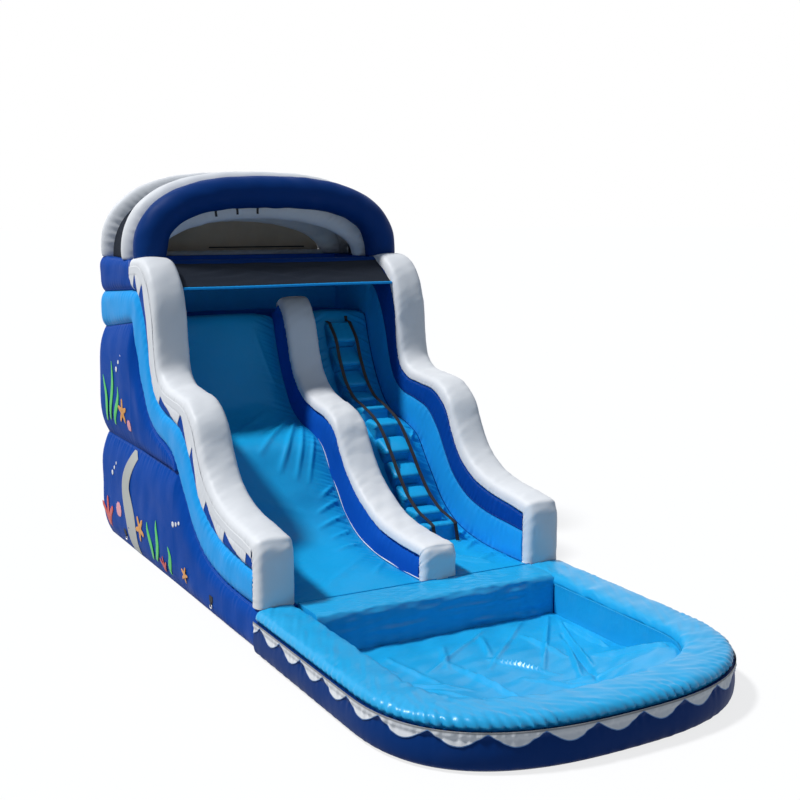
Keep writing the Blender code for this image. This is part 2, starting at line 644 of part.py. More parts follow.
def ladder():
    """Wedge-shaped step pads seated on the climbing mattress, and a hand strap along each side."""
    surface = (LANE + LANE_CROWN * STACK)[::-1]
    climb = surface[(surface[:, 0] > RUN * LADDER_START_SHARE) & (surface[:, 0] < RUN * LADDER_END_SHARE)]
    pitch = lengths_along(climb)[-1] / STEP_COUNT
    cutter = loft("mattress_cutter", mattress_rings(DIVIDER_RIGHT + GAP, INNER_X - GAP, lift=GAP), CYAN)
    tips = []
    for i in range(STEP_COUNT):
        a, b = (at(climb, i * pitch + STEP_CLEARANCE), at(climb, (i + 1) * pitch - STEP_CLEARANCE))
        run = (b - a) / np.linalg.norm(b - a)
        up = np.array([-run[1], run[0]])
        root = up * MATTRESS_THICKNESS / 2
        soft = STEP_EDGE * 0.3
        tip = a + up * STEP_HIGH + run * (STEP_EDGE + STEP_RAKE)
        heel = b + up * STEP_LOW
        outline = [a - root, tip - up * STEP_EDGE - run * STEP_EDGE,
                   tip - up * soft - run * STEP_EDGE * 0.7, tip,
                   heel - run * STEP_EDGE + up * (STEP_HIGH - STEP_LOW) * 0.15, heel - up * soft,
                   b - root]
        centre = (a + heel) / 2
        rings = []
        for share, shrink in ((-1, 0.90), (-0.86, 1.0), (0.86, 1.0), (1, 0.90)):
            x = CLIMB_CENTRE + share * STEP_WIDTH / 2
            rings.append([(x, *(centre + (p - centre) * shrink)) for p in outline])
        boolean(loft(f"step_{i + 1:02d}", rings, CYAN), cutter, "DIFFERENCE")
        if i == 0:
            nose = np.array(outline[1:3])
        tips.append(tip)
    hand_straps(nose, np.array(tips), np.array(outline[4:6]), climb, surface)


def stretch(curve, start, stop):
    """The part of a polyline between two distances, with the corners that lie between them."""
    lengths = lengths_along(curve)
    inside = curve[(lengths > start) & (lengths < stop)]
    return np.vstack([at(curve, start), inside, at(curve, stop)])


def hand_straps(nose, tips, heel, climb, surface):
    """Two webbing straps over the steps' front edges, sewn down at the foot and at the top."""
    start = lengths_along(surface)[np.where(surface == climb[0])[0][0]]
    stop = start + lengths_along(climb)[-1]
    foot = at(surface, start - STRAP_TUCK)
    head = stretch(surface, stop + STEP_EDGE, stop + STRAP_TUCK)
    route = np.vstack([foot, nose, smooth(tips), heel, head])
    lean = unit(np.gradient(route, axis=0))
    normal = np.column_stack([-lean[:, 1], lean[:, 0]])
    low = route + normal * 2 * GAP
    high = low + normal * STRAP_THICKNESS
    for side, sign in (("left", -1), ("right", 1)):
        middle = CLIMB_CENTRE + sign * (STEP_WIDTH / 2 - STRAP_WIDTH)
        near, far = middle - STRAP_WIDTH / 2, middle + STRAP_WIDTH / 2
        rings = [[(near, *p), (far, *p), (far, *q), (near, *q)] for p, q in zip(low, high)]
        loft(f"{side}_hand_strap", rings, BLACK)


def rim_path(offset=0.0, count=14):
    """The pool's outline from its left rear corner round the front, moved inwards by offset."""
    angles = np.linspace(0, math.pi / 2, count)
    x = -POOL_HALF * np.cos(angles) ** (2 / RIM_POWER_SHARE)
    y = -POOL_STRAIGHT - (POOL_LENGTH - POOL_STRAIGHT) * np.sin(angles) ** (2 / RIM_POWER_SHARE)
    straight = [(-POOL_HALF, -GAP), (-POOL_HALF, -POOL_STRAIGHT * 0.35), (-POOL_HALF, -POOL_STRAIGHT * 0.7)]
    left = np.array(straight + list(zip(x, y)))
    path = np.vstack([left, left[-2::-1] * (-1, 1)])
    slope = unit(np.gradient(path, axis=0))
    slope[[0, -1]] = (0, -1), (0, 1)
    inward = np.column_stack([-slope[:, 1], slope[:, 0]])
    return path + offset * inward, inward


def swept(name, section, finish):
    """Carries a section of (inward distance, height) round the pool's outline."""
    path, inward = rim_path()
    rings = [[(*(p + d * n), h) for d, h in section] for p, n in zip(path, inward)]
    return loft(name, rings, finish)


def pool():
    """The navy rim, the cyan cover on it, the apron at the slide's foot and the floor pad."""
    side = RIM_HEIGHT - COVER_THICKNESS
    body = [(0.6 * RIM_BULGE, 0), (-0.6 * RIM_BULGE, side * 0.14), (-RIM_BULGE, side * 0.45),
            (-0.7 * RIM_BULGE, side * 0.82), (0, side), (RIM_WIDTH - 0.2 * RIM_BULGE, side),
            (RIM_WIDTH, side * 0.8), (RIM_WIDTH, 0)]
    swept("pool_rim", body, NAVY)
    low = side + GAP
    shoulder = RIM_WIDTH * 0.13
    cover = [(0, low), (-0.5 * RIM_BULGE, low + COVER_THICKNESS * 0.35), (0, low + COVER_THICKNESS * 0.72),
             (shoulder, low + COVER_THICKNESS * 0.92), (RIM_WIDTH * 0.42, RIM_HEIGHT),
             (RIM_WIDTH - shoulder, low + COVER_THICKNESS * 0.90),
             (RIM_WIDTH, low + COVER_THICKNESS * 0.45), (RIM_WIDTH - 0.2 * RIM_BULGE, low)]
    swept("pool_rim_cover", cover, CYAN)
    half = INNER_X - 2 * GAP
    back, front = -GAP, -APRON_DEPTH
    outline = [(back, 0), (back, RIM_HEIGHT - APRON_ROLL * 0.25), (back - APRON_ROLL * 0.6, RIM_HEIGHT),
               (front + APRON_ROLL, RIM_HEIGHT), (front + APRON_ROLL * 0.25, RIM_HEIGHT - APRON_ROLL * 0.4),
               (front, RIM_HEIGHT - APRON_ROLL * 1.1), (front, 0)]
    prism("pool_apron", outline, -half, half, CYAN)
    pool_liner(half, front - GAP)


def liner_height(x, y):
    """The liner lies flat at the rear and climbs to the rim at the front, where it hangs loose."""
    ahead = np.clip((-y - POOL_STRAIGHT) / (POOL_LENGTH - POOL_STRAIGHT - RIM_WIDTH), 0, None)
    level = (np.abs(x / INNER_X) ** RIM_POWER_SHARE + ahead ** RIM_POWER_SHARE) ** (1 / RIM_POWER_SHARE)
    climb = np.clip((level - LINER_FOOT_SHARE) / (1 - LINER_FOOT_SHARE), 0, 1)
    near = np.clip((-y - POOL_STRAIGHT + LINER_RAMP) / (2 * LINER_RAMP), 0, 1)
    blend = climb ** 2 * (3 - 2 * climb) * near ** 2 * (3 - 2 * near)
    return POOL_FLOOR_THICKNESS + (RIM_HEIGHT - COVER_THICKNESS - POOL_FLOOR_THICKNESS) * blend


def pool_liner(half, rear):
    """The pool's floor and liner, one solid under the sheet's surface."""
    path, _ = rim_path(RIM_WIDTH + GAP)
    left = path[:len(path) // 2]
    left = left[left[:, 1] < rear - LINER_RAMP / 2]
    stations = [(-half, rear)] + [tuple(p) for p in left]
    across = np.array(LINER_ROW_SHARES)
    rings = []
    for x, y in stations:
        top = [(abs(x) * a, y, liner_height(abs(x) * a, y)) for a in across]
        rings.append(top + [(abs(x), y, 0), (-abs(x), y, 0)])
    loft("pool_liner", rings, CYAN)


def flank_x(y, z):
    """How far a lower panel's flank stands from the middle plane at a place beside the lane."""
    top = min(PANEL_SEAM_HEIGHT, np.interp(y, LANE[::-1, 0], LANE[::-1, 1])) - GAP
    rows = np.array(BARREL_ROW_SHARES)
    seam, face = HALF_WIDTH - SEAM_PINCH, HALF_WIDTH + panel_bulge(top)
    return np.interp(z / top, rows, seam + (face - seam) * (1 - np.abs(2 * rows - 1) ** 4))


def rear_y(z):
    """Where the face of the rear lower panel stands at a height."""
    rows = np.array(BARREL_ROW_SHARES)
    return np.interp(z / (PANEL_SEAM_HEIGHT - GAP), rows, rear_bulge(rows, PANEL_SEAM_HEIGHT))


def rod(name, radius, ends, place, finish, sides=12, axis=1, parent=FRAME):
    """A round bar between two places on an axis (0 is X, 1 is Y), centred on the two other coordinates."""
    turns = np.linspace(0, 2 * math.pi, sides, endpoint=False)
    rings = []
    for end in ends:
        ring = []
        for t in turns:
            across, height = place[0] + radius * math.cos(t), place[1] + radius * math.sin(t)
            ring.append((end, across, height) if axis == 0 else (across, end, height))
        rings.append(ring)
    return loft(name, rings, finish, parent=parent)


def anchor(name, sign, y):
    """A webbing tab sewn to the lower panel. Its end is folded round the bar of a hanging D ring."""
    top, bottom = ANCHOR_HEIGHT + TAB_LENGTH / 2, ANCHOR_HEIGHT - TAB_LENGTH / 2
    bore = RING_WIRE + RING_CLEARANCE
    fold = bore + LOOP_WALL
    face = max(flank_x(y - TAB_WIDTH / 2, bottom), flank_x(y + TAB_WIDTH / 2, bottom))
    pin_x = face + fold
    rings = []
    for at_y in (y - TAB_WIDTH / 2, y, y + TAB_WIDTH / 2):
        skin = [(flank_x(at_y, z) + TAB_SEAT, z) for z in (top, ANCHOR_HEIGHT, bottom)]
        rings.append([(sign * x, at_y, z) for x, z in skin]
                     + [(sign * (x + TAB_THICKNESS), at_y, z) for x, z in skin[::-1]])
    tab = loft(name + "_tab", rings, BLACK)
    reach = LOOP_WIDTH / 2
    hub = (sign * pin_x, bottom)
    boolean(tab, rod(name + "_fold", fold, (y - reach, y + reach), hub, BLACK), "UNION")
    boolean(tab, rod(name + "_bore", bore, (y - TAB_WIDTH, y + TAB_WIDTH), hub, BLACK), "DIFFERENCE")
    pin = bpy.data.objects.new(name + "_pin", None)
    pin.location = (sign * pin_x, y, bottom)
    pin.parent = FRAME
    bpy.context.scene.collection.objects.link(pin)
    half = RING_BAR / 2
    arc = np.linspace(0, math.pi, 9)
    bow = np.column_stack([half * np.cos(arc), -half * (0.35 + np.sin(arc))])
    route = np.vstack([[(-half * 0.72, 0), (half * 0.72, 0), (half, -half * 0.22)],
                       bow, [(-half, -half * 0.22)]])
    ahead = unit(np.roll(route, -1, axis=0) - np.roll(route, 1, axis=0))
    side = np.column_stack([-ahead[:, 1], ahead[:, 0]])
    turns = np.linspace(0, 2 * math.pi, 8, endpoint=False)
    rings = [[(RING_WIRE * math.cos(t), p[0] + RING_WIRE * math.sin(t) * n[0],
               p[1] + RING_WIRE * math.sin(t) * n[1]) for t in turns] for p, n in zip(route, side)]
    loft(name + "_ring", rings, STEEL, closed=True, parent=pin)


def inflation_sleeve():
    """The fabric sleeve that a blower's nozzle is tied into, low on the rear, with its tie strap."""
    hub = (SLEEVE_X, SLEEVE_RADIUS + TIE_THICKNESS + 2 * GAP)
    start = BODY_LENGTH - SEAM_PINCH * 1.5
    sleeve = rod("inflation_sleeve", SLEEVE_RADIUS, (start, REAR_END), hub, NAVY, sides=20)
    bore = rod("sleeve_bore", SLEEVE_RADIUS - SLEEVE_WALL,
               (start - SLEEVE_WALL, REAR_END + SLEEVE_WALL), hub, NAVY, sides=20)
    boolean(sleeve, bore, "DIFFERENCE")
    rings = []
    for x in (-INNER_X, INNER_X):
        heights = [v * (PANEL_SEAM_HEIGHT - GAP) for v in BARREL_ROW_SHARES]
        outside = [(x, rear_y(z) + GAP, z) for z in heights]
        outside[0] = (x, outside[0][1], -SLEEVE_WALL)
        rings.append(outside + [(x, REAR_WALL_Y, PANEL_SEAM_HEIGHT), (x, REAR_WALL_Y, -SLEEVE_WALL)])
    boolean(sleeve, loft("rear_panel_cutter", rings, NAVY), "DIFFERENCE")
    tie_y = BODY_LENGTH + SLEEVE_LENGTH * TIE_PLACE_SHARE
    ends = (tie_y - TIE_WIDTH / 2, tie_y + TIE_WIDTH / 2)
    tie = rod("sleeve_tie", SLEEVE_RADIUS + GAP + TIE_THICKNESS, ends, hub, BLACK, sides=20)
    hole = rod("tie_hole", SLEEVE_RADIUS + GAP, (ends[0] - TIE_WIDTH, ends[1] + TIE_WIDTH), hub,
               BLACK, sides=20)
    boolean(tie, hole, "DIFFERENCE")


def rear_plate(name, low_x, high_x, middle, width, near, far, finish, parent=FRAME, shift=(0, 0, 0)):
    """A plate along X on the rear lower panel, between two distances from the panel's face."""
    outline = []
    for z, off in ((middle - width / 2, near), (middle + width / 2, near),
                   (middle + width / 2, far), (middle - width / 2, far)):
        outline.append((rear_y(z) + off - shift[1], z - shift[2]))
    rings = [[(x - shift[0], y, z) for y, z in outline] for x in (low_x, high_x)]
    return loft(name, rings, finish, parent=parent)


def deflation_zip():
    """The zip that lets the air out: a tape with its chain, and the slider that runs along it."""
    low_x, high_x = ZIP_X - ZIP_LENGTH / 2, ZIP_X + ZIP_LENGTH / 2
    face, crest = GAP + ZIP_TAPE_THICKNESS, GAP + ZIP_TAPE_THICKNESS + ZIP_CHAIN_HEIGHT
    tape = rear_plate("zip_tape", low_x, high_x, ZIP_HEIGHT, ZIP_WIDTH, GAP, face, BLACK)
    chain = rear_plate("zip_chain", low_x + ZIP_CHAIN_WIDTH, high_x - ZIP_CHAIN_WIDTH, ZIP_HEIGHT,
                       ZIP_CHAIN_WIDTH, face - GAP, crest, BLACK)
    boolean(tape, chain, "UNION")
    start = high_x - ZIP_CHAIN_WIDTH * 2 - SLIDER_LENGTH / 2
    pin = bpy.data.objects.new("zip_slider_place", None)
    pin.location = (start, rear_y(ZIP_HEIGHT), ZIP_HEIGHT)
    pin.parent = FRAME
    bpy.context.scene.collection.objects.link(pin)
    shift = tuple(pin.location)
    reach = SLIDER_LENGTH / 2
    slider = rear_plate("zip_slider", start - reach, start + reach, ZIP_HEIGHT, SLIDER_WIDTH, face + GAP,
                        crest + SLIDER_CLEARANCE + SLIDER_WALL, STEEL, pin, shift)
    slot = rear_plate("slider_slot", start - SLIDER_LENGTH, start + SLIDER_LENGTH, ZIP_HEIGHT,
                      ZIP_CHAIN_WIDTH + 2 * SLIDER_CLEARANCE, 0, crest + SLIDER_CLEARANCE, STEEL,
                      pin, shift)
    boolean(slider, slot, "DIFFERENCE")


def main():
    side_walls()
    side_panels()
    lanes()
    divider()
    tower()
    hood()
    ladder()
    pool()
    for side, sign in (("left", -1), ("right", 1)):
        anchor(f"{side}_front_anchor", sign, ANCHOR_FRONT_Y)
        anchor(f"{side}_rear_anchor", sign, ANCHOR_REAR_Y)
    inflation_sleeve()
    deflation_zip()


main()
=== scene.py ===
# %% [markdown]
# # Dressing an inflatable water slide
#
# The frame that this lesson loads holds sixty plain solids: the sewn chambers of a slide with a pool.
# Here each chamber gets the surface of real coated fabric, with the gathers, folds and seams that air
# pressure pulls into it. Everything stays where the frame has it.

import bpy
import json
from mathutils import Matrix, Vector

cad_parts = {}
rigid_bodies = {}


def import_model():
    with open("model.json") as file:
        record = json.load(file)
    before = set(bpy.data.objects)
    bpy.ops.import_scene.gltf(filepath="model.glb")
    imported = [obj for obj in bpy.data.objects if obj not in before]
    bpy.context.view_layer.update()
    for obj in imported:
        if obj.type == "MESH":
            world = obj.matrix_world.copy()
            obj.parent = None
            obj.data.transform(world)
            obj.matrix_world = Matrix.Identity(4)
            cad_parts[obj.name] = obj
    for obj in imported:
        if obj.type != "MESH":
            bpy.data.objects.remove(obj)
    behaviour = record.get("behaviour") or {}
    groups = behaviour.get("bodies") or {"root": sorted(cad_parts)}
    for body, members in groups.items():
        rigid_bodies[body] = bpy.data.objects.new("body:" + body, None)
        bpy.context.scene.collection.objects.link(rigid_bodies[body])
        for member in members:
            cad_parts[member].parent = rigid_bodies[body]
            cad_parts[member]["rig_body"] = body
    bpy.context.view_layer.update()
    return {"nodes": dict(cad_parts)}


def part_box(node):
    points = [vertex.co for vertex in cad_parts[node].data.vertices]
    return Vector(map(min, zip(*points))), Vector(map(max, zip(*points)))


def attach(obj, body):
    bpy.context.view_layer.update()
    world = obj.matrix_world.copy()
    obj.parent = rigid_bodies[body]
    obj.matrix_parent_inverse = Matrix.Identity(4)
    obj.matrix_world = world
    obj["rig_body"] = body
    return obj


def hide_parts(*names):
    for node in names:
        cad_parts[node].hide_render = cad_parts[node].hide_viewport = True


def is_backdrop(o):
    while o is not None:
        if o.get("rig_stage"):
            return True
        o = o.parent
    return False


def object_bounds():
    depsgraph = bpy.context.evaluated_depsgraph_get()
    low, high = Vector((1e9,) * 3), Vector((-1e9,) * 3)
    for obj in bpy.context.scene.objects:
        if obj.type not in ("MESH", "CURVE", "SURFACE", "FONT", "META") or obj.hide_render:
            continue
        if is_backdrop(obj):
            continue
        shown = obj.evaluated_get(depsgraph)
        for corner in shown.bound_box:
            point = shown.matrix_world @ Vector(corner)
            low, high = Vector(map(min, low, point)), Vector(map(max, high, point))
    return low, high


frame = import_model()

# %% [markdown]
# ## Camera
#
# The camera stands off the slide's front left corner, above head height. Its place and turn come from
# lining up known corners of the frame with the reference view. Yaw, pitch and a slight roll are enough
# to say where it looks.

# %% Camera
import json
import math

import bpy
import numpy as np
from mathutils import Matrix, Vector

scene = bpy.context.scene
scene.view_settings.view_transform = "Standard"

YAW, PITCH, ROLL = (math.radians(angle) for angle in (29.65, -9.34, 0.47))
CAMERA_PLACE = (-6.336, -11.820, 4.473)
FOCAL_PIXELS, WIDTH_PIXELS, SENSOR_MM = 1215.5, 800, 36
ahead = Vector((math.sin(YAW) * math.cos(PITCH), math.cos(YAW) * math.cos(PITCH), math.sin(PITCH)))
level = ahead.cross(Vector((0, 0, 1))).normalized()
above = level.cross(ahead)
right = level * math.cos(ROLL) + above * math.sin(ROLL)
up = above * math.cos(ROLL) - level * math.sin(ROLL)
camera = bpy.data.objects.new("camera", bpy.data.cameras.new("camera"))
camera.data.sensor_width = SENSOR_MM
camera.data.lens = FOCAL_PIXELS / WIDTH_PIXELS * SENSOR_MM
camera.matrix_world = Matrix((right, up, -ahead)).transposed().to_4x4()
camera.location = CAMERA_PLACE
scene.collection.objects.link(camera)
scene.camera = camera
print("camera looks along", tuple(round(v, 3) for v in ahead))

# %% [markdown]
# ## Node helpers
#
# A material is a tree of nodes. Small helpers keep the recipes short. One makes a node, fills its inputs
# and links what is a socket. The others do arithmetic, draw noise, mix two colours, read the seam map,
# lay a relief and start a material.


# %% Node helpers
def node(tree, kind, inputs=None, **settings):
    """A node with its settings, and its inputs given as values or as sockets to link from."""
    made = tree.nodes.new(kind)
    for key, value in settings.items():
        setattr(made, key, value)
    for key, value in (inputs or {}).items():
        if isinstance(value, bpy.types.NodeSocket):
            tree.links.new(value, made.inputs[key])
        else:
            made.inputs[key].default_value = value
    return made


def maths(tree, operation, *values):
    """The result of one arithmetic step."""
    return node(tree, "ShaderNodeMath", dict(enumerate(values)), operation=operation).outputs[0]


def noise(tree, vector, scale, detail=2.0, roughness=0.5, distortion=0.0):
    """A smooth random value from 0 to 1 that changes with place."""
    inputs = {"Vector": vector, "Scale": scale, "Detail": detail, "Roughness": roughness,
              "Distortion": distortion}
    return node(tree, "ShaderNodeTexNoise", inputs).outputs["Fac"]


def blend_colours(tree, share, first, second, kind="MIX"):
    """Two colours mixed by a share from 0 to 1."""
    mixer = node(tree, "ShaderNodeMix", {0: share, 6: first, 7: second}, data_type="RGBA", blend_type=kind)
    return mixer.outputs[2]


def seam_map(tree):
    """The distance along the nearest seam and the distance away from it."""
    parts = node(tree, "ShaderNodeSeparateXYZ", {0: node(tree, "ShaderNodeUVMap", uv_map="seam").outputs[0]})
    return parts.outputs[0], parts.outputs[1]


def relief(tree, shader, height, strength=1.0, distance=1.0):
    """Bends the shader's normal as if its surface had a height."""
    bump = node(tree, "ShaderNodeBump", {"Strength": strength, "Distance": distance, "Height": height})
    tree.links.new(bump.outputs[0], shader.inputs["Normal"])


def fresh_material(name, roughness, metallic=0.0, specular=0.5, coat=0.0):
    """An empty Principled material with its even properties set on the shader itself."""
    made = bpy.data.materials.new(name)
    made.use_nodes = True
    shader = made.node_tree.nodes["Principled BSDF"]
    shader.inputs["Roughness"].default_value = roughness
    shader.inputs["Metallic"].default_value = metallic
    shader.inputs["Specular IOR Level"].default_value = specular
    shader.inputs["Coat Weight"].default_value = coat
    shader.inputs["Coat Roughness"].default_value = 0.18
    return made, made.node_tree, shader


# %% [markdown]
# ## Coated fabric
#
# The slide is sewn from PVC coated polyester: a tight weave under a soft, slightly glossy skin. Three
# scales of relief make it believable. Along a seam the cloth is gathered by the stitches, so short
# pleats stand across it and fade out within a hand's width. Over a whole panel the air pressure leaves
# shallow dents and long creases. Up close the weave gives a very fine grain.
#
# Each mesh carries a UV map named "seam": its first number is the distance along the nearest seam and
# its second the distance away from it, both in metres. The pleats, the stitch rows and a painted shade
# that darkens the cloth close to each seam read it, and the dents read the object's own coordinates.


# %% Coated fabric material
EULER = 2.718
STITCHES_FROM_SEAM, STITCHES_APART, THREAD_HALF = 0.020, 0.005, 0.0011
THREAD_COLOUR = (0.75, 0.76, 0.78, 1.0)


def vinyl(name, colour, roughness, specular=0.35, coat=0.0, gathers=1.0, creases=1.0, dust=0.10,
          stitched=1.0, dusty=(0.42, 0.42, 0.40)):
    """Coated fabric: colour that drifts a little, dust, painted shade along the seams, two stitch rows,
    pleats, creases and grain.
    """
    made, tree, shader = fresh_material(name, roughness, specular=specular, coat=coat)
    place = node(tree, "ShaderNodeTexCoord").outputs["Object"]
    along, away = seam_map(tree)
    near = maths(tree, "POWER", EULER, maths(tree, "MULTIPLY", away, -15.0))
    pleat_place = node(tree, "ShaderNodeCombineXYZ", {0: maths(tree, "MULTIPLY", along, 17.0),
                                                      1: maths(tree, "MULTIPLY", away, 3.0)}).outputs[0]
    pleat = maths(tree, "MULTIPLY", maths(tree, "SUBTRACT", noise(tree, pleat_place, 1.0, 3.0), 0.5), near)
    height = maths(tree, "MULTIPLY", pleat, 0.012 * gathers)
    dents = noise(tree, place, 1.7, 2.0)
    height = maths(tree, "MULTIPLY_ADD", dents, 0.010 * creases, height)
    folds = noise(tree, place, 5.5, 3.5, 0.50, 0.9)
    height = maths(tree, "MULTIPLY_ADD", folds, 0.0026 * creases, height)
    grain = noise(tree, place, 420.0, 1.0)
    height = maths(tree, "MULTIPLY_ADD", grain, 0.00008, height)
    row = maths(tree, "ABSOLUTE", maths(tree, "SUBTRACT", maths(tree, "ABSOLUTE",
                maths(tree, "SUBTRACT", away, STITCHES_FROM_SEAM)), STITCHES_APART))
    dash = maths(tree, "GREATER_THAN", maths(tree, "SINE", maths(tree, "MULTIPLY", along, 700.0)), -0.3)
    stitch = maths(tree, "MULTIPLY", maths(tree, "LESS_THAN", row, THREAD_HALF), dash)
    stitch = maths(tree, "MULTIPLY", stitch, stitched)
    height = maths(tree, "MULTIPLY_ADD", stitch, 0.0008, height)
    relief(tree, shader, height)
    base = (*colour, 1.0)
    deep = tuple(c * 0.90 for c in colour) + (1.0,)
    tint = blend_colours(tree, noise(tree, place, 1.1, 3.0), deep, tuple(c * 1.06 for c in colour) + (1.0,))
    settled = node(tree, "ShaderNodeMapRange", {0: noise(tree, place, 3.4, 6.0, 0.62), 1: 0.52, 2: 0.80,
                                                3: 0.0, 4: dust}).outputs[0]
    tint = blend_colours(tree, settled, tint, (*dusty, 1.0))
    # Painted shade: within a few millimetres of a seam the colour darkens, as the groove between two chambers
    # is shaded.
    seam_groove_shade = maths(tree, "MULTIPLY", maths(tree, "POWER", EULER, maths(tree, "MULTIPLY", away, -170.0)), 0.45)
    tint = blend_colours(tree, seam_groove_shade, tint, tuple(c * 0.35 for c in colour) + (1.0,))
    thread = blend_colours(tree, 0.22, base, THREAD_COLOUR)
    tint = blend_colours(tree, maths(tree, "MULTIPLY", stitch, 0.55), tint, thread)
    tree.links.new(tint, shader.inputs["Base Color"])
    worn = node(tree, "ShaderNodeMapRange", {0: noise(tree, place, 2.6, 4.0), 1: 0.3, 2: 0.7,
                                             3: roughness - 0.05, 4: roughness + 0.09}).outputs[0]
    tree.links.new(worn, shader.inputs["Roughness"])
    return made


WHITE = vinyl("white_fabric", (0.74, 0.750, 0.762), 0.46, specular=0.22, dust=0.10, dusty=(0.60, 0.61, 0.61))
NAVY = vinyl("navy_fabric", (0.002, 0.058, 0.330), 0.50, specular=0.035, dust=0.01, creases=0.7, gathers=0.6)
# A second navy at about half the brightness of the first: painted shade, for the navy parts that face away
# from the lamp: the hood's front tube, the veil's border and the pool's rim.
SHADE_DARKENED_NAVY = vinyl("shade_darkened_navy_fabric", (0.002, 0.032, 0.165), 0.46, specular=0.06, dust=0.01)
ROYAL = vinyl("royal_fabric", (0.004, 0.080, 0.420), 0.46, specular=0.05, dust=0.01)
SKY = vinyl("sky_fabric", (0.013, 0.335, 0.790), 0.44, specular=0.08, dust=0.02)
CYAN = vinyl("cyan_fabric", (0.011, 0.360, 0.690), 0.33, specular=0.30, coat=0.10, gathers=1.3, creases=1.6,
             dust=0.03)
LANE_CYAN = vinyl("lane_cyan_fabric", (0.009, 0.350, 0.695), 0.34, specular=0.12, coat=0.05, gathers=1.3,
                  creases=1.6, dust=0.02)
print("coated fabrics:", [m.name for m in (WHITE, NAVY, SHADE_DARKENED_NAVY, ROYAL, SKY, CYAN, LANE_CYAN)])

# %% [markdown]
# ## Net, webbing and steel
#
# The nets are knitted mesh: threads with darker holes between them, so a fine checker of thread and hole
# with a little relief reads right. Webbing is a ribbed strap. The rings and the zip slider are
# plated steel with fine scratches. Their solids already have the right shape, so only their finish
# changes.


# %% Net, webbing and steel materials
def netting(name, thread, hole, pitch=0.006):
    """Knitted mesh: two sets of threads crossing, lighter on top and dark in the holes."""
    made, tree, shader = fresh_material(name, 0.8, specular=0.2)
    place = node(tree, "ShaderNodeTexCoord").outputs["Object"]
    along, away = seam_map(tree)
    across = maths(tree, "ABSOLUTE", maths(tree, "SINE", maths(tree, "MULTIPLY", along, math.pi / pitch)))
    down = maths(tree, "ABSOLUTE", maths(tree, "SINE", maths(tree, "MULTIPLY", away, math.pi / pitch)))
    weave = maths(tree, "MULTIPLY", across, down)
    tint = blend_colours(tree, weave, (*thread, 1.0), (*hole, 1.0))
    patch = noise(tree, place, 2.2, 4.0)
    light = tuple(c * 1.7 for c in thread) + (1.0,)
    tint = blend_colours(tree, maths(tree, "MULTIPLY", patch, 0.5), tint, light)
    tree.links.new(tint, shader.inputs["Base Color"])
    height = maths(tree, "MULTIPLY", weave, -0.0008)
    height = maths(tree, "MULTIPLY_ADD", noise(tree, place, 4.0, 3.0, 0.5, 0.6), 0.012, height)
    relief(tree, shader, height)
    return made


RIB_WAVE, PICK_WAVE = 3140.0, 2100.0


def webbing(name, colour):
    """A woven strap: ribs along it every 2 mm, and fuzzy, slightly lighter patches spread by noise."""
    made, tree, shader = fresh_material(name, 0.72, specular=0.3)
    place = node(tree, "ShaderNodeTexCoord").outputs["Object"]
    along, away = seam_map(tree)
    rib = maths(tree, "SINE", maths(tree, "MULTIPLY", away, RIB_WAVE))
    pick = maths(tree, "SINE", maths(tree, "MULTIPLY", along, PICK_WAVE))
    weave = maths(tree, "MULTIPLY", rib, pick)
    relief(tree, shader, maths(tree, "MULTIPLY", weave, 0.0004), strength=0.8)
    fuzz = maths(tree, "MULTIPLY", noise(tree, place, 9.0, 4.0), 0.5)
    share = maths(tree, "MULTIPLY_ADD", weave, 0.18, fuzz)
    tint = blend_colours(tree, share, (*colour, 1.0), tuple(c * 2.6 + 0.004 for c in colour) + (1.0,))
    tree.links.new(tint, shader.inputs["Base Color"])
    return made


def steel(name):
    """Plated steel: bright, with brushed streaks and duller patches."""
    made, tree, shader = fresh_material(name, 0.28, metallic=1.0)
    place = node(tree, "ShaderNodeTexCoord").outputs["Object"]
    patch = noise(tree, place, 60.0, 5.0)
    tint = blend_colours(tree, patch, (0.50, 0.50, 0.51, 1.0), (0.72, 0.72, 0.73, 1.0))
    tree.links.new(tint, shader.inputs["Base Color"])
    rough = node(tree, "ShaderNodeMapRange", {0: patch, 3: 0.18, 4: 0.42}).outputs[0]
    tree.links.new(rough, shader.inputs["Roughness"])
    scratch = noise(tree, place, 900.0, 2.0)
    relief(tree, shader, scratch, strength=0.3, distance=0.0005)
    return made


NET = netting("shade_net", (0.004, 0.008, 0.017), (0.002, 0.004, 0.008))
WINDOW = netting("window_net", (0.430, 0.345, 0.250), (0.270, 0.220, 0.160))
WEBBING = webbing("black_webbing_strap", (0.010, 0.010, 0.012))
STEEL = steel("ring_steel")
METAL_BODIES = ("left_front_ring", "left_rear_ring", "right_front_ring", "right_rear_ring", "zip_slider")
for solid in frame["nodes"].values():
    if solid["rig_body"] in METAL_BODIES:
        solid.material_slots[0].material = STEEL
print("net, webbing and steel are ready")

# %% [markdown]
# ## From a grid of points to a mesh
#
# Every new piece is a grid: one direction runs along the piece and the other around or across it. The
# helpers below turn such a grid into faces, close its ends, and turn the shell right side out by the
# sign of its volume: the sum of the small pyramids between each face and the origin.


# %% Mesh helpers
SHIFT = np.array([0.0, -1.145, 0.0])


def quads(count, around, wrap_around, wrap_along=False):
    """The four corner numbers of each cell of a grid."""
    i, j = np.meshgrid(np.arange(count if wrap_along else count - 1),
                       np.arange(around if wrap_around else around - 1), indexing="ij")
    i, j = i.ravel(), j.ravel()
    i2, j2 = (i + 1) % count, (j + 1) % around
    return np.stack([i * around + j, i * around + j2, i2 * around + j2, i2 * around + j], axis=1)


def spread(*parts):
    """Values of different shapes spread over one grid and stacked as the numbers of its points."""
    return np.stack(np.broadcast_arrays(*parts), axis=-1)


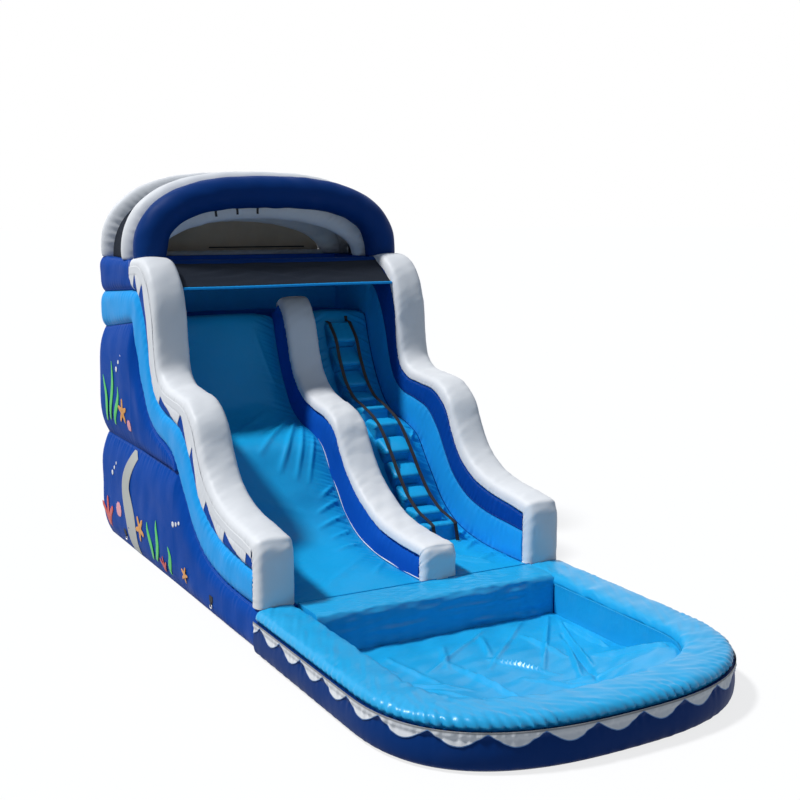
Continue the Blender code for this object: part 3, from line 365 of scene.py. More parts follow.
def volume(points, faces):
    """Six times the signed volume inside faces: each one's corner triangles against the origin."""
    total = 0.0
    for group in faces:
        for k in range(1, group.shape[1] - 1):
            a, b, c = points[group[:, 0]], points[group[:, k]], points[group[:, k + 1]]
            total += np.einsum("ij,ij->", a, np.cross(b, c))
    return total


def mesh_object(name, points, faces, seam, finish, sharp=50):
    """Puts points, faces and the seam map into a mesh whose object sits at the origin."""
    mesh = bpy.data.meshes.new(name)
    corners = np.concatenate([group.ravel() for group in faces])
    sizes = np.concatenate([np.full(len(group), group.shape[1]) for group in faces])
    mesh.vertices.add(len(points))
    mesh.vertices.foreach_set("co", (points + SHIFT).ravel())
    mesh.loops.add(len(corners))
    mesh.loops.foreach_set("vertex_index", corners.astype(np.int32))
    mesh.polygons.add(len(sizes))
    mesh.polygons.foreach_set("loop_start", np.concatenate([[0], np.cumsum(sizes)[:-1]]).astype(np.int32))
    mesh.update(calc_edges=True)
    layer = mesh.uv_layers.new(name="seam")
    layer.data.foreach_set("uv", seam[corners].astype(np.float32).ravel())
    mesh.materials.append(finish)
    mesh.shade_smooth()
    mesh.set_sharp_from_angle(angle=math.radians(sharp))
    made = bpy.data.objects.new(name, mesh)
    scene.collection.objects.link(made)
    return made


def shell(name, rings, seam, finish, sharp=50, loop=False):
    """A closed skin over rings of points. Its two ends are closed by fans, unless it runs in a loop."""
    count, around = rings.shape[:2]
    points, seam = rings.reshape(-1, 3), seam.reshape(-1, 2)
    faces = [quads(count, around, True, loop)]
    if not loop:
        j = np.arange(around)
        k = (j + 1) % around
        first, last = len(points), len(points) + 1
        points = np.vstack([points, rings[0].mean(0), rings[-1].mean(0)])
        seam = np.vstack([seam, seam[:around].mean(0), seam[-around:].mean(0)])
        end = (count - 1) * around
        faces.append(np.stack([k, j, np.full(around, first)], axis=1))
        faces.append(np.stack([end + j, end + k, np.full(around, last)], axis=1))
    if volume(points, faces) < 0:
        faces = [group[:, ::-1] for group in faces]
    return mesh_object(name, points, faces, seam, finish, sharp)


def thicken(made, thickness, offset):
    """A Solidify modifier: an offset of -1 or 1 adds on one side of the sheet, and 0 on both."""
    solid = made.modifiers.new("thickness", "SOLIDIFY")
    solid.thickness = thickness
    solid.offset = offset


def sheet_grid(name, grid, seam, finish, thickness, offset=-1):
    """An open sheet over a grid, given a thickness."""
    faces = [quads(grid.shape[0], grid.shape[1], False)]
    made = mesh_object(name, grid.reshape(-1, 3), faces, seam.reshape(-1, 2), finish)
    thicken(made, thickness, offset)
    return made


def dress(piece, slot, *nodes, fill=None):
    """The piece rides on the slide and stands for its nodes, which are hidden; slot and fill are not used."""
    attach(piece, "slide")
    if nodes:
        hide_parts(*nodes)
    return piece


# %% [markdown]
# ## Curves, swells and pleats
#
# The walls, the divider and the lanes are one family of waves. Each is a smooth curve through key
# points, and the keys of the three curves stand at the same stations, so layers between them follow by
# blending. Gathers and swells are sums of a few sine waves with uneven lengths. They look random and
# come out the same on each run, because their numbers come from a seeded generator.


# %% Curve helpers
def catmull(keys, t):
    """The point at key number t of a smooth curve: a cubic blend of the four keys around t."""
    keys = np.asarray(keys, float)
    padded = np.vstack([2 * keys[0] - keys[1], keys, 2 * keys[-1] - keys[-2]])
    i = np.clip(np.floor(t).astype(int), 0, len(keys) - 2)
    f = (t - i)[:, None]
    a, b, c, d = (padded[i + k] for k in range(4))
    return 0.5 * (2 * b + (c - a) * f + (2 * a - 5 * b + 4 * c - d) * f ** 2
                  + (3 * b - a - 3 * c + d) * f ** 3)


def lengths(curve):
    """The distance of each point of a curve from its start, along the curve."""
    return np.concatenate([[0], np.cumsum(np.linalg.norm(np.diff(curve, axis=0), axis=1))])


def evenly(keys, step):
    """Key numbers that step evenly along the smooth curve through the keys."""
    fine = np.linspace(0, len(keys) - 1, 80 * len(keys))
    run = lengths(catmull(keys, fine))
    return np.interp(np.linspace(0, run[-1], int(run[-1] / step) + 1), run, fine)


def unit(vectors):
    """Each row at length one."""
    return vectors / np.linalg.norm(vectors, axis=-1, keepdims=True)


def spaced(columns, step=0.02):
    """Adds stations on the straight lines between the given ones where two lie further apart than step."""
    table = np.asarray(columns, float)
    gap = np.maximum(np.linalg.norm(np.diff(table[:, :2], axis=0), axis=1),
                     np.linalg.norm(np.diff(table[:, 2:4], axis=0), axis=1))
    counts = np.maximum(1, np.ceil(gap / step)).astype(int)
    where = np.concatenate([i + np.arange(c) / c for i, c in enumerate(counts)] + [[len(table) - 1]])
    return np.column_stack([np.interp(where, np.arange(len(table)), column) for column in table.T])


def pleats(s, seed, spacing=0.075):
    """Uneven gathers along a seam: five sine waves of lengths around the spacing, added up."""
    draw = np.random.default_rng(seed)
    total = np.zeros_like(s, dtype=float)
    for _ in range(5):
        wave = 2 * math.pi / (spacing * draw.uniform(0.65, 1.8))
        total += draw.uniform(0.5, 1.0) * np.sin(wave * s + draw.uniform(0, 6.28))
    return total / 2.2


def swells(u, v, seed, size):
    """A gently rolling surface: eight plane waves of about one size in different directions."""
    draw = np.random.default_rng(seed)
    total = np.zeros(np.broadcast(u, v).shape)
    for turn in draw.uniform(0, 6.28, 8):
        wave = 2 * math.pi / (size * draw.uniform(0.6, 1.6))
        total += np.sin(wave * (u * math.cos(turn) + v * math.sin(turn)) + draw.uniform(0, 6.28))
    return total / 4


def gather(distance, reach=0.032):
    """How far a pleat stands out at a distance from its seam: none at the seam, most at reach, then less."""
    return distance / reach * np.exp(1 - distance / reach)


# %% [markdown]
# ## The three waves
#
# The numbers below are shares of the run and of the height, the same that shaped the solids. Resampling
# each wave every two centimetres gives the fine grid that folds need.

# %% The three waves
HALF_WIDTH, INNER_X = 1.85, 1.42
DIVIDER_LEFT, DIVIDER_RIGHT = 0.06, 0.49
BODY_LENGTH, RUN, REAR_WALL_Y = 5.26, 3.90, 4.84
WALL_TOP, DECK_HEIGHT, PANEL_SEAM = 3.72, 2.95, 1.38
TOWER_LOW, TOWER_MIDDLE = 2.80, 3.26
RIM_HEIGHT, LANE_FOOT = 0.475, 0.455
CAP_THICKNESS, MATTRESS_THICKNESS = 0.16, 0.22
PINCH, GAP = 0.055, 0.0004

LANE_SHARES = [(1.035, 1.000), (1.012, 0.985), (0.986, 0.872), (0.954, 0.756), (0.915, 0.652),
               (0.862, 0.555), (0.795, 0.496), (0.713, 0.467), (0.641, 0.419), (0.582, 0.314),
               (0.533, 0.227), (0.477, 0.134), (0.390, 0.054), (0.277, 0.013), (0.141, 0.000),
               (0.000, 0.000)]
WALL_SHARES = [(1.000, 1.012), (0.897, 1.012), (0.822, 0.952), (0.780, 0.846), (0.766, 0.726),
               (0.744, 0.626), (0.692, 0.580), (0.612, 0.567), (0.522, 0.552), (0.452, 0.496),
               (0.411, 0.410), (0.360, 0.327), (0.284, 0.268), (0.190, 0.238), (0.097, 0.225),
               (0.026, 0.212)]
DIVIDER_SHARES = [(0.995, 1.085), (0.957, 1.112), (0.920, 1.060), (0.891, 0.962), (0.868, 0.850),
                  (0.834, 0.750), (0.774, 0.674), (0.695, 0.635), (0.618, 0.613), (0.551, 0.561),
                  (0.510, 0.468), (0.458, 0.367), (0.382, 0.275), (0.267, 0.194), (0.141, 0.166),
                  (0.026, 0.158)]


def in_metres(shares, height, foot):
    """Shares of the run and of the height above a foot, as points (y, z)."""
    return np.array([(RUN * y, foot + (height - foot) * z) for y, z in shares])


WALL_KEYS = in_metres(WALL_SHARES, WALL_TOP, RIM_HEIGHT)
LANE_KEYS = in_metres(LANE_SHARES, DECK_HEIGHT, LANE_FOOT)
RIDGE_KEYS = in_metres(DIVIDER_SHARES, DECK_HEIGHT, LANE_FOOT)
T = evenly(WALL_KEYS, 0.019)
WALL, LANE, RIDGE = (catmull(keys, T) for keys in (WALL_KEYS, LANE_KEYS, RIDGE_KEYS))
upright = np.clip((T - 14.4) / 0.6, 0, 1)[:, None]
STACK = unit((1 - upright) * unit(WALL - LANE) + upright * np.array([0.0, 1.0]))
BED = LANE - MATTRESS_THICKNESS * STACK
BED[:, 0] = np.maximum(BED[:, 0], 0)
WALL_RUN, LANE_RUN = lengths(WALL), lengths(LANE)
print(len(T), "stations; the wall's wave is", round(WALL_RUN[-1], 2), "m long")

# %% [markdown]
# ## Bands: the inflated layers of the walls
#
# A wall is a stack of long tubes sewn one on the other. Between its two seams each tube bulges like a
# barrel and is nearly flat in the middle. The section is a straight line from the lower seam to the
# upper, and the flank stands off it by 1 - |2v - 1|^4, with v from 0 at one seam to 1 at the other.
# The stitches gather the cloth, so pleats stand beside each seam and fade out.

# %% Bands of the side walls
ROWS = (1 - np.cos(np.linspace(0, math.pi, 23))) / 2


def barrel_x(v, height, s, seam_x, face_x, seed, depth=0.0034, roll=0.006):
    """Where a flank stands at a share v of its height: the barrel, its pleats and its shallow swells."""
    bulge = 1 - np.abs(2 * v - 1) ** 4
    low, high = v * height, (1 - v) * height
    fold = gather(low) * pleats(s, seed) + gather(high) * pleats(s, seed + 1)
    rolling = swells(s, v * height, seed + 2, 0.55) * np.clip(np.minimum(low, high) / 0.10, 0, 1)
    return seam_x + (face_x - seam_x) * bulge - np.sign(face_x) * (depth * (fold + 0.6) - roll * rolling)


def band(name, table, outer, inner, finish, seed, end_swell=0.0, shallow_inside=False):
    """One layer of a wall. table holds for each station: low (y, z), high (y, z) and an inset.

    outer and inner are (seam x, face x) of the two flanks. A face x may be one value per station.
    """
    table = spaced(table)
    low, high, inset = table[:, 0:2], table[:, 2:4], table[:, 4]
    s = lengths((low + high) / 2)
    height = np.linalg.norm(high - low, axis=1)[:, None]
    v = ROWS[None, :]
    side = np.sign(outer[0])
    place = low[:, None] + v[..., None] * (high - low)[:, None]
    outer_face = np.broadcast_to(table[:, 5] if table.shape[1] > 5 else outer[1], s.shape)[:, None]
    x_out = barrel_x(v, height, s[:, None], outer[0], outer_face, seed) - side * inset[:, None]
    if shallow_inside:
        x_in = np.broadcast_to(inner[0], x_out.shape) + side * inset[:, None]
    else:
        mirrored = barrel_x(v, height, s[:, None], -inner[0], -inner[1] * np.ones_like(outer_face), seed + 7)
        x_in = -mirrored + side * inset[:, None]
    ring_out = np.concatenate([x_out[..., None], place], axis=2)
    ring_in = np.concatenate([x_in[..., None], place], axis=2)[:, ::-1]
    away = np.broadcast_to(np.minimum(v, 1 - v) * height, x_out.shape)
    both = np.concatenate([away, away[:, ::-1]], axis=1)
    rings = np.concatenate([ring_out, ring_in], axis=1)
    if end_swell:
        turn = np.linspace(0, math.pi / 2, 8)[:0:-1]
        centre = rings[0].mean(0)
        dome = centre + (rings[0] - centre) * np.cos(turn)[:, None, None]
        dome[..., 1] += end_swell * np.sin(turn)[:, None]
        rings = np.concatenate([dome, rings])
        both = np.concatenate([np.broadcast_to(0.3, (len(turn), both.shape[1])), both])
        s = np.concatenate([np.zeros(len(turn)), s])
    seam = spread(s[:, None], both)
    return shell(name, rings, seam, finish)


def rear_corner(low_z, high_z):
    """Stations that round the tower's upright rear corner: a quarter of an ellipse, seen from above."""
    back = np.linspace(0, 2 * PINCH, 8)
    inset = PINCH * (1 - np.sqrt(1 - ((2 * PINCH - back) / (2 * PINCH)) ** 2))
    y = BODY_LENGTH - back
    return [(a, low_z, a, high_z, b) for a, b in zip(y, inset)]


SPLIT = LANE + 0.5 * (WALL - LANE)
UNDER_CAP = WALL - (CAP_THICKNESS + GAP) * STACK
KEEP = LANE[:, 0] > CAP_THICKNESS * 3
STOP_Y = CAP_THICKNESS + GAP
FRONT_TOP = WALL[-1, 1]
FRONT_SPLIT = LANE_FOOT + 0.5 * (FRONT_TOP - LANE_FOOT)

reach = (WALL_TOP - SPLIT[0, 1]) / (WALL[0, 1] - SPLIT[0, 1])
corner_top = SPLIT[0] + reach * (WALL[0] - SPLIT[0])
NAVY_TABLE = rear_corner(TOWER_MIDDLE + GAP, WALL_TOP)
NAVY_TABLE.append((SPLIT[0, 0] + 0.0015, SPLIT[0, 1] + GAP, corner_top[0] + 0.0015, corner_top[1], 0))
NAVY_TABLE += [(*(a + (0, GAP)), *b, 0) for a, b in zip(SPLIT[KEEP], UNDER_CAP[KEEP])]
NAVY_TABLE.append((STOP_Y, FRONT_SPLIT + GAP, STOP_Y, FRONT_TOP - CAP_THICKNESS - 2 * GAP, 0))
SKY_TABLE = rear_corner(TOWER_LOW + GAP, TOWER_MIDDLE - GAP)
SKY_TABLE += [(*(a + (0, GAP)), *(b - (0, GAP)), 0) for a, b in zip(LANE[KEEP], SPLIT[KEEP])]
SKY_TABLE.append((STOP_Y, LANE_FOOT + GAP, STOP_Y, FRONT_SPLIT - GAP, 0))
for side, sign in (("left", -1), ("right", 1)):
    outer = (sign * (HALF_WIDTH - PINCH), sign * HALF_WIDTH)
    inner = (sign * (INNER_X + 0.012), sign * INNER_X)
    seed = 10 if sign < 0 else 30
    made = band(side + "_navy_layer", NAVY_TABLE, outer, inner, NAVY, seed, end_swell=0.02)
    dress(made, "navy_vinyl", side + "_wall_navy_band", fill=0.95)
    made = band(side + "_sky_layer", SKY_TABLE, outer, inner, SKY, seed + 4, end_swell=0.02)
    dress(made, "sky_vinyl", side + "_wall_sky_band", fill=0.95)
print("wall layers done")

# %% [markdown]
# ## The big flank panels
#
# Below the waves each flank has two tall panels with a level seam between them. They hold the most air,
# so they swell furthest past the seams, and a panel swells less where it is short. The same function
# that shapes them also says later where the fabric pictures lie.

# %% Flank panels
LANE_UP = LANE[::-1]
CROSSING = float(np.interp(PANEL_SEAM, LANE_UP[:, 1], LANE_UP[:, 0]))
FLANK_SWELL = 0.05


def panel_face(height):
    """How far out a panel of a height swells: five centimetres where it is tall, less where short."""
    return HALF_WIDTH + FLANK_SWELL * np.minimum(1.0, height / PANEL_SEAM)


def panel_table(low, high, stations):
    """Stations (y, low z, high z) as the table that band reads, with the face of each station."""
    rows = [(*row, HALF_WIDTH) for row in rear_corner(low, high)]
    rows = [(*row[:5], float(panel_face(high - low))) for row in rows]
    rows += [(y, a, y, b, 0, float(panel_face(b - a))) for y, a, b in stations]
    return np.array(rows)


above_seam = [(y, PANEL_SEAM + GAP, z - GAP) for y, z in LANE if z > PANEL_SEAM + 0.03]
above_seam.append((CROSSING + 0.02, PANEL_SEAM + GAP, PANEL_SEAM + 0.02))
below_seam = [(CROSSING, 0.0, PANEL_SEAM - GAP)]
below_seam += [(max(y, 0.0), 0.0, z - GAP) for y, z in LANE if z < PANEL_SEAM - 0.02]
UPPER_TABLE = panel_table(PANEL_SEAM + GAP, TOWER_LOW - GAP, above_seam)
LOWER_TABLE = panel_table(0.0, PANEL_SEAM - GAP, below_seam)


def flank_point(y, z, lift):
    """The place on a flank's skin at (y, z), for things sewn onto it, with x taken as positive."""
    upper = z > PANEL_SEAM
    lane_z = np.where(y > 4.2, TOWER_LOW, np.interp(y, LANE_UP[:, 0], LANE_UP[:, 1]))
    low = np.where(upper, PANEL_SEAM, 0.0)
    high = np.where(upper, lane_z, np.minimum(PANEL_SEAM, lane_z))
    height = high - low
    v = np.clip((z - low) / height, 0, 1)
    bulge = 1 - np.abs(2 * v - 1) ** 4
    x = HALF_WIDTH - PINCH + (panel_face(height) - HALF_WIDTH + PINCH) * bulge
    return np.stack([x + lift, y, z], axis=-1)


for side, sign in (("left", -1), ("right", 1)):
    outer = (sign * (HALF_WIDTH - PINCH), sign * (HALF_WIDTH + FLANK_SWELL))
    seed = 50 if sign < 0 else 70
    for level, table in (("upper", UPPER_TABLE), ("lower", LOWER_TABLE)):
        signed = table.copy()
        signed[:, 5] *= sign
        made = band(f"{side}_{level}_flank", signed, outer, (sign * INNER_X,), NAVY, seed, 0.02, True)
        dress(made, "navy_vinyl", f"{side}_{level}_panel", fill=0.95)
        seed += 9
print("flank panels meet at y =", round(CROSSING, 2))

# %% [markdown]
# ## White caps
#
# A white strip lies along the top of each wall, with straight flanks, rounded shoulders and a slightly
# crowned top. At the foot of the wall it turns down the front end to the pool. The section is carried
# along the wave, and at the front along a second curve that rounds the corner.

# %% White caps
CAP_SECTION = [(1, 0.11), (1, 0.30), (0.985, 0.48), (0.94, 0.66), (0.855, 0.81), (0.70, 0.92),
               (0.40, 0.983), (0, 1)]
DIVIDER_CAP = CAP_THICKNESS * 0.85
NOSE_KEYS, NOSE_INSET = [0, 0.12, 0.3, 0.5, 1.0], [0.17, 0.12, 0.07, 0.035, 0.0]
NOSE_SHRINK = [0.60, 0.78, 0.90, 0.96, 1.0]


def cap_section(half, rows=61):
    """Points (share of half width, share of thickness) from one bottom seam over the top to the other."""
    first = [(1 - 0.02 / half, 0.0)] + CAP_SECTION
    full = np.array(first + [(-a, v) for a, v in first[-2::-1]])
    return catmull(full, np.linspace(0, len(full) - 1, rows))


def cap(name, crest, outer_x, inner_x, thickness, foot, seed, nose=False):
    """The cap's rings: the section stood on (under, crest) at each station, then down the front end."""
    middle, half = (outer_x + inner_x) / 2, abs(outer_x - inner_x) / 2
    under = crest - thickness * unit(crest - LANE)
    under[:, 0] = np.maximum(under[:, 0], thickness)
    top_y, top_z = crest[-1]
    rise, below = top_z - LANE_FOOT, top_z - thickness - LANE_FOOT
    front = [(0.30, 0.925, 0.86), (0.04, 0.75, 0.65), (0.0, 0.30, 0.28)]
    over, inside = [crest[-9], (top_y, top_z)], [under[-9], (thickness, LANE_FOOT + below)]
    for back, over_share, inside_share in front:
        over.append((thickness * back, LANE_FOOT + rise * over_share))
        inside.append((thickness, LANE_FOOT + below * inside_share))
    over.append((0.0, foot + GAP))
    inside.append((thickness, foot + GAP))
    t = np.linspace(1, 5, 40)
    crest = np.vstack([crest[:-1], catmull(over, t)])
    under = np.vstack([under[:-1], catmull(inside, t)])
    count = len(crest)
    s = lengths(crest)
    section = cap_section(half)
    inset, shrink = np.zeros(count), np.ones(count)
    if nose:
        t = np.concatenate([T[:-1], np.full(40, T[-1])])
        inset = np.interp(t, NOSE_KEYS, NOSE_INSET) * 2 * half
        shrink = np.interp(t, NOSE_KEYS, NOSE_SHRINK)
    a, v = section[None, :, 0], section[None, :, 1]
    s2 = s[:, None]
    on_top = np.clip((v - 0.5) * 2, 0, 1)
    shade = swells(s2, a * half, seed, 0.34) * 0.006
    shade = shade + 0.004 * pleats(s2 + 0.10 * a, seed + 3, 0.16) * np.abs(a)
    pucker = gather(v * thickness, 0.022) * pleats(s2 + 0.3 * np.sign(a), seed + 1, 0.06) * 0.004
    lift = (v * shrink[:, None] * (1 + on_top * shade / thickness))[..., None]
    place = under[:, None] + lift * (crest - under)[:, None]
    reach_x = a * (half - inset[:, None]) + np.sign(a) * (pucker - 0.003 + 0.35 * shade * (1 - on_top))
    rings = np.concatenate([(middle + reach_x)[..., None], place], axis=2)
    away = np.broadcast_to(v * thickness, reach_x.shape)
    seam = spread(s2, away)
    return shell(name, rings, seam, WHITE)


for side, sign in (("left", -1), ("right", 1)):
    made = cap(side + "_white_cap", WALL, sign * HALF_WIDTH, sign * INNER_X, CAP_THICKNESS, LANE_FOOT,
               90 + sign)
    dress(made, "white_vinyl", side + "_wall_cap", fill=0.9)
made = cap("divider_white_cap", RIDGE, DIVIDER_RIGHT, DIVIDER_LEFT, DIVIDER_CAP, BED[-1, 1], 97, nose=True)
dress(made, "white_vinyl", "divider_cap", fill=0.9)
print("caps done")

# %% [markdown]
# ## The divider
#
# The wall between the lanes has one royal blue layer. It rises from the bed of the lanes, so the
# mattresses press against its foot, and the white cap closes it on top.

# %% Divider body
ridge_under = RIDGE - (DIVIDER_CAP + GAP) * unit(RIDGE - LANE)
keep = LANE[:, 0] > DIVIDER_CAP * 3
stop = DIVIDER_CAP + GAP
DIVIDER_TABLE = [(*a, *b, 0) for a, b in zip(BED[keep], ridge_under[keep])]
DIVIDER_TABLE.append((stop, BED[-1, 1], stop, RIDGE[-1, 1] - DIVIDER_CAP - 2 * GAP, 0))
made = band("divider_royal_layer", DIVIDER_TABLE, (DIVIDER_RIGHT - PINCH, DIVIDER_RIGHT),
            (DIVIDER_LEFT + PINCH, DIVIDER_LEFT), ROYAL, 110)
dress(made, "royal_vinyl", "divider_body", fill=0.95)

# %% [markdown]
# ## Wave trim on the outer flanks
#
# White fabric hooks down over the navy layer like the lip of a breaking wave. Each hook grows slowly
# deeper down the slope and then jumps back, which leaves a navy sliver beneath it. The trim is a thin
# sheet that lies on the bulge: one parameter runs along the wall, the other from the cap's seam down to
# the hook's edge, and the deeper rows lean back up the slope a little, so that the points curl.

# %% Wave trim
HOOK_ENDS = [0.18, 0.86, 1.46, 2.27, 3.10, 3.68, 4.15, 4.62, 5.02]
HOOK_LEAST, HOOK_GROWTH, HOOK_CURL = 0.24, 1.15, 2.4


def between(grid, k, v):
    """Reads a grid of numbers at a fractional station k and a share v of the rows' height."""
    k0 = np.clip(np.floor(k).astype(int), 0, len(grid) - 2)
    row = np.interp(v, ROWS, np.arange(len(ROWS)))
    r0 = np.clip(np.floor(row).astype(int), 0, len(ROWS) - 2)
    f, g = k - k0, row - r0
    low = grid[k0, r0] * (1 - g) + grid[k0, r0 + 1] * g
    high = grid[k0 + 1, r0] * (1 - g) + grid[k0 + 1, r0 + 1] * g
    return low * (1 - f) + high * f


def wave_trim(side, sign, seed):
    """The trim covers least + (1 - least) f^growth of the layer, with f the way from hook to hook."""
    table = spaced(NAVY_TABLE)
    low, high = table[:, 0:2], table[:, 2:4]
    run = lengths((low + high) / 2)
    height = np.linalg.norm(high - low, axis=1)[:, None]
    skin = barrel_x(ROWS[None, :], height, run[:, None], sign * (HALF_WIDTH - PINCH), sign * HALF_WIDTH, seed)
    start = int(np.searchsorted(-low[:, 0], -float(NAVY_TABLE[8][0])))
    station = np.arange(start, len(table) - 1.001, 0.3)
    y_low = np.interp(station, np.arange(len(table)), low[:, 0])
    on_wall = np.interp(y_low, LANE_UP[:, 0], WALL_RUN[::-1])
    ends = np.array([-0.35] + HOOK_ENDS + [5.6])
    place = np.searchsorted(ends, on_wall, side="left")
    f = (on_wall - ends[place - 1]) / (ends[place] - ends[place - 1])
    edge = (HOOK_LEAST + (1 - HOOK_LEAST) * f ** HOOK_GROWTH)[:, None]
    above = np.array([0.045, 0.030, 0.015])
    u = np.concatenate([np.zeros(3), np.linspace(0, 1, 19)])[None, :]
    raised = np.concatenate([above, np.zeros(19)])[None, :]
    k = np.clip(station[:, None] - HOOK_CURL * (u * edge) ** 2.5, 0, len(table) - 1)
    v = 1 - u * edge * 0.985
    number = np.arange(len(table))
    a_y, a_z, b_y, b_z, tall = (np.interp(k, number, column) for column in (*low.T, *high.T, height[:, 0]))
    up = v + raised / tall
    y, z = a_y + up * (b_y - a_y), a_z + up * (b_z - a_z)
    hang = HALF_WIDTH + 0.0030 - 0.10 * np.clip(u * edge - 0.2, 0, 1)
    x = sign * np.maximum(np.abs(between(skin, k, v)) + 0.0035, hang)
    grid = np.stack([x, y, z], axis=2)
    seam = np.stack([np.interp(k, number, run), (1 - u) * edge * tall + raised + 0.01], axis=2)
    made = sheet_grid(side + "_wave_trim", grid, seam, WHITE, 0.0016, 0)
    return dress(made, "white_vinyl")


wave_trim("left", -1, 10)
wave_trim("right", 1, 30)
print("wave trim has", len(HOOK_ENDS), "hooks on each side")

# %% [markdown]
# ## Lane mattresses
#
# The two lanes are long mattresses, crowned across and sewn down along both edges. Three kinds of fold
# show on them. Short gathers stand square to the edge seams. Long slack folds run down from the divider
# where the lane turns over the hump. Everywhere else there are broad shallow swells. A long fold is a
# ridge around a line: its height falls off with the square of the distance from the line.

# %% Lane mattresses
def ridge(u, v, start, end, width, height):
    """A fold along the line from start to end: a bell across the line, faded in and out along it."""
    start, end = np.array(start, float), np.array(end, float)
    line = end - start
    size = np.linalg.norm(line)
    along = ((u - start[0]) * line[0] + (v - start[1]) * line[1]) / size
    aside = (-(u - start[0]) * line[1] + (v - start[1]) * line[0]) / size
    share = np.clip(along / size, 0, 1)
    fade = np.sin(math.pi * np.clip(0.04 + 0.92 * share, 0, 1)) ** 0.6
    past = np.clip(np.abs(along / size - 0.5) - 0.5, 0, None) * size
    return height * fade * np.exp(-(aside / width) ** 2 - (past / width) ** 2)


def mattress(name, left_x, right_x, seed, folds, columns, rumple):
    """Sections across the lane: a crowned, folded top, and a flat underside on the slope."""
    left_x, right_x = left_x + GAP, right_x - GAP
    middle, half = (left_x + right_x) / 2, (right_x - left_x) / 2
    a = np.sin(np.linspace(-math.pi / 2, math.pi / 2, columns))[None, :]
    s = LANE_RUN[:, None]
    edge = (1 - np.abs(a)) * half
    flat = np.clip(LANE[:, 0] / 0.5, 0, 1)[:, None]
    crown = (0.018 + 0.037 * flat) * (1 - np.abs(a) ** 4)
    lean = s + 0.35 * edge
    top = crown + rumple * 0.0085 * gather(edge, 0.07) * pleats(lean, seed, 0.085) * np.where(a < 0, 1, 0.9)
    calm = np.clip(edge / 0.1, 0, 1)
    top += rumple * 0.006 * swells(a * half, s, seed + 1, 0.5) * calm * (0.3 + 0.7 * flat)
    for start, end, width, height in folds:
        top += rumple * ridge(s, a * half, start, end, width, height) * np.clip(edge / 0.04, 0, 1)
    top = np.maximum(top, -0.004)
    skin = LANE[:, None] + top[..., None] * STACK[:, None]
    x = np.broadcast_to(middle + half * a, top.shape)
    upper = np.concatenate([x[..., None], skin], axis=2)
    count = len(LANE)
    steps = np.linspace(0.2, 1, 4)
    side_z = LANE[:, None] + steps[None, :, None] * (BED - LANE)[:, None]
    right_side = np.concatenate([np.full((count, 4, 1), right_x), side_z], axis=2)
    left_side = np.concatenate([np.full((count, 4, 1), left_x), side_z[:, ::-1]], axis=2)
    rings = np.concatenate([upper, right_side, left_side], axis=1)
    away = np.concatenate([np.broadcast_to(edge, top.shape), np.full((count, 8), 0.3)], axis=1)
    seam = spread(s, away)
    return shell(name, rings, seam, LANE_CYAN)


SLIDE_FOLDS = [((1.55, 0.62), (2.35, -0.10), 0.034, 0.026), ((1.62, 0.66), (2.62, 0.08), 0.030, 0.030),
               ((1.80, 0.68), (2.75, 0.25), 0.026, 0.022), ((1.42, 0.35), (1.95, -0.30), 0.040, 0.016),
               ((1.50, 0.60), (2.05, 0.02), 0.024, -0.012), ((2.10, 0.70), (2.80, 0.40), 0.022, 0.016),
               ((3.05, 0.72), (3.22, 0.38), 0.024, 0.020), ((3.28, 0.72), (3.45, 0.30), 0.026, 0.022),
               ((3.52, 0.72), (3.66, 0.36), 0.022, 0.018), ((3.80, 0.72), (3.92, 0.30), 0.026, 0.018),
               ((2.85, 0.72), (3.00, 0.50), 0.022, 0.016), ((0.35, -0.55), (0.95, -0.70), 0.030, 0.014),
               ((0.30, 0.45), (1.05, 0.60), 0.026, 0.010), ((2.95, -0.40), (3.25, 0.30), 0.060, 0.010),
               ((4.10, 0.60), (4.90, -0.30), 0.045, 0.010), ((4.35, 0.70), (4.75, 0.35), 0.026, 0.014)]
CLIMB_FOLDS = [((3.35, 0.44), (3.55, 0.22), 0.020, 0.022), ((3.60, 0.44), (3.80, 0.20), 0.020, 0.024),
               ((3.85, 0.44), (4.10, 0.18), 0.020, 0.022), ((4.15, 0.43), (4.45, 0.05), 0.024, 0.020),
               ((4.40, -0.40), (4.95, 0.10), 0.030, 0.022), ((4.62, 0.40), (4.85, 0.00), 0.022, 0.014),
               ((2.20, 0.44), (2.45, 0.26), 0.018, 0.016), ((1.60, 0.44), (1.85, 0.25), 0.018, 0.014)]
made = mattress("slide_lane", -INNER_X, DIVIDER_LEFT, 130, SLIDE_FOLDS, 91, 1.15)
dress(made, "cyan_vinyl", "slide_mattress", fill=0.75)
made = mattress("climbing_lane", DIVIDER_RIGHT, INNER_X, 140, CLIMB_FOLDS, 71, 1.7)
dress(made, "cyan_vinyl", "climb_mattress", fill=0.75)

# %% [markdown]
# ## Inside the slope
#
# Under the mattresses the slope is one air space, hidden by everything around it. A plain skin along
# the bed closes it, with a straight back against the rear wall.

# %% Slope core
bed = BED - GAP * STACK
over = np.vstack([bed[::-2], [(REAR_WALL_Y - GAP, bed[0, 1])]])
under = np.column_stack([np.linspace(0, REAR_WALL_Y - GAP, len(over)), np.zeros(len(over))])
half = INNER_X - GAP
rings = np.stack([np.column_stack([np.full(len(over), x), line])
                  for x, line in ((-half, under), (-half, over), (half, over), (half, under))], axis=1)
seam = spread(lengths(over)[:, None], np.full((1, 4), 0.3))
dress(shell("slope_air_space", rings, seam, NAVY), "navy_vinyl", "slope_core", fill=0.95)

# %% [markdown]
# ## Ladder pads
#
# The steps are wedge-shaped pads sewn to the climbing lane: a steep front, a rounded front edge and a
# flat top that runs back to the next step. The pad's outline is rounded by a smooth closed curve, and
# its ends pull in as on a filled cushion.

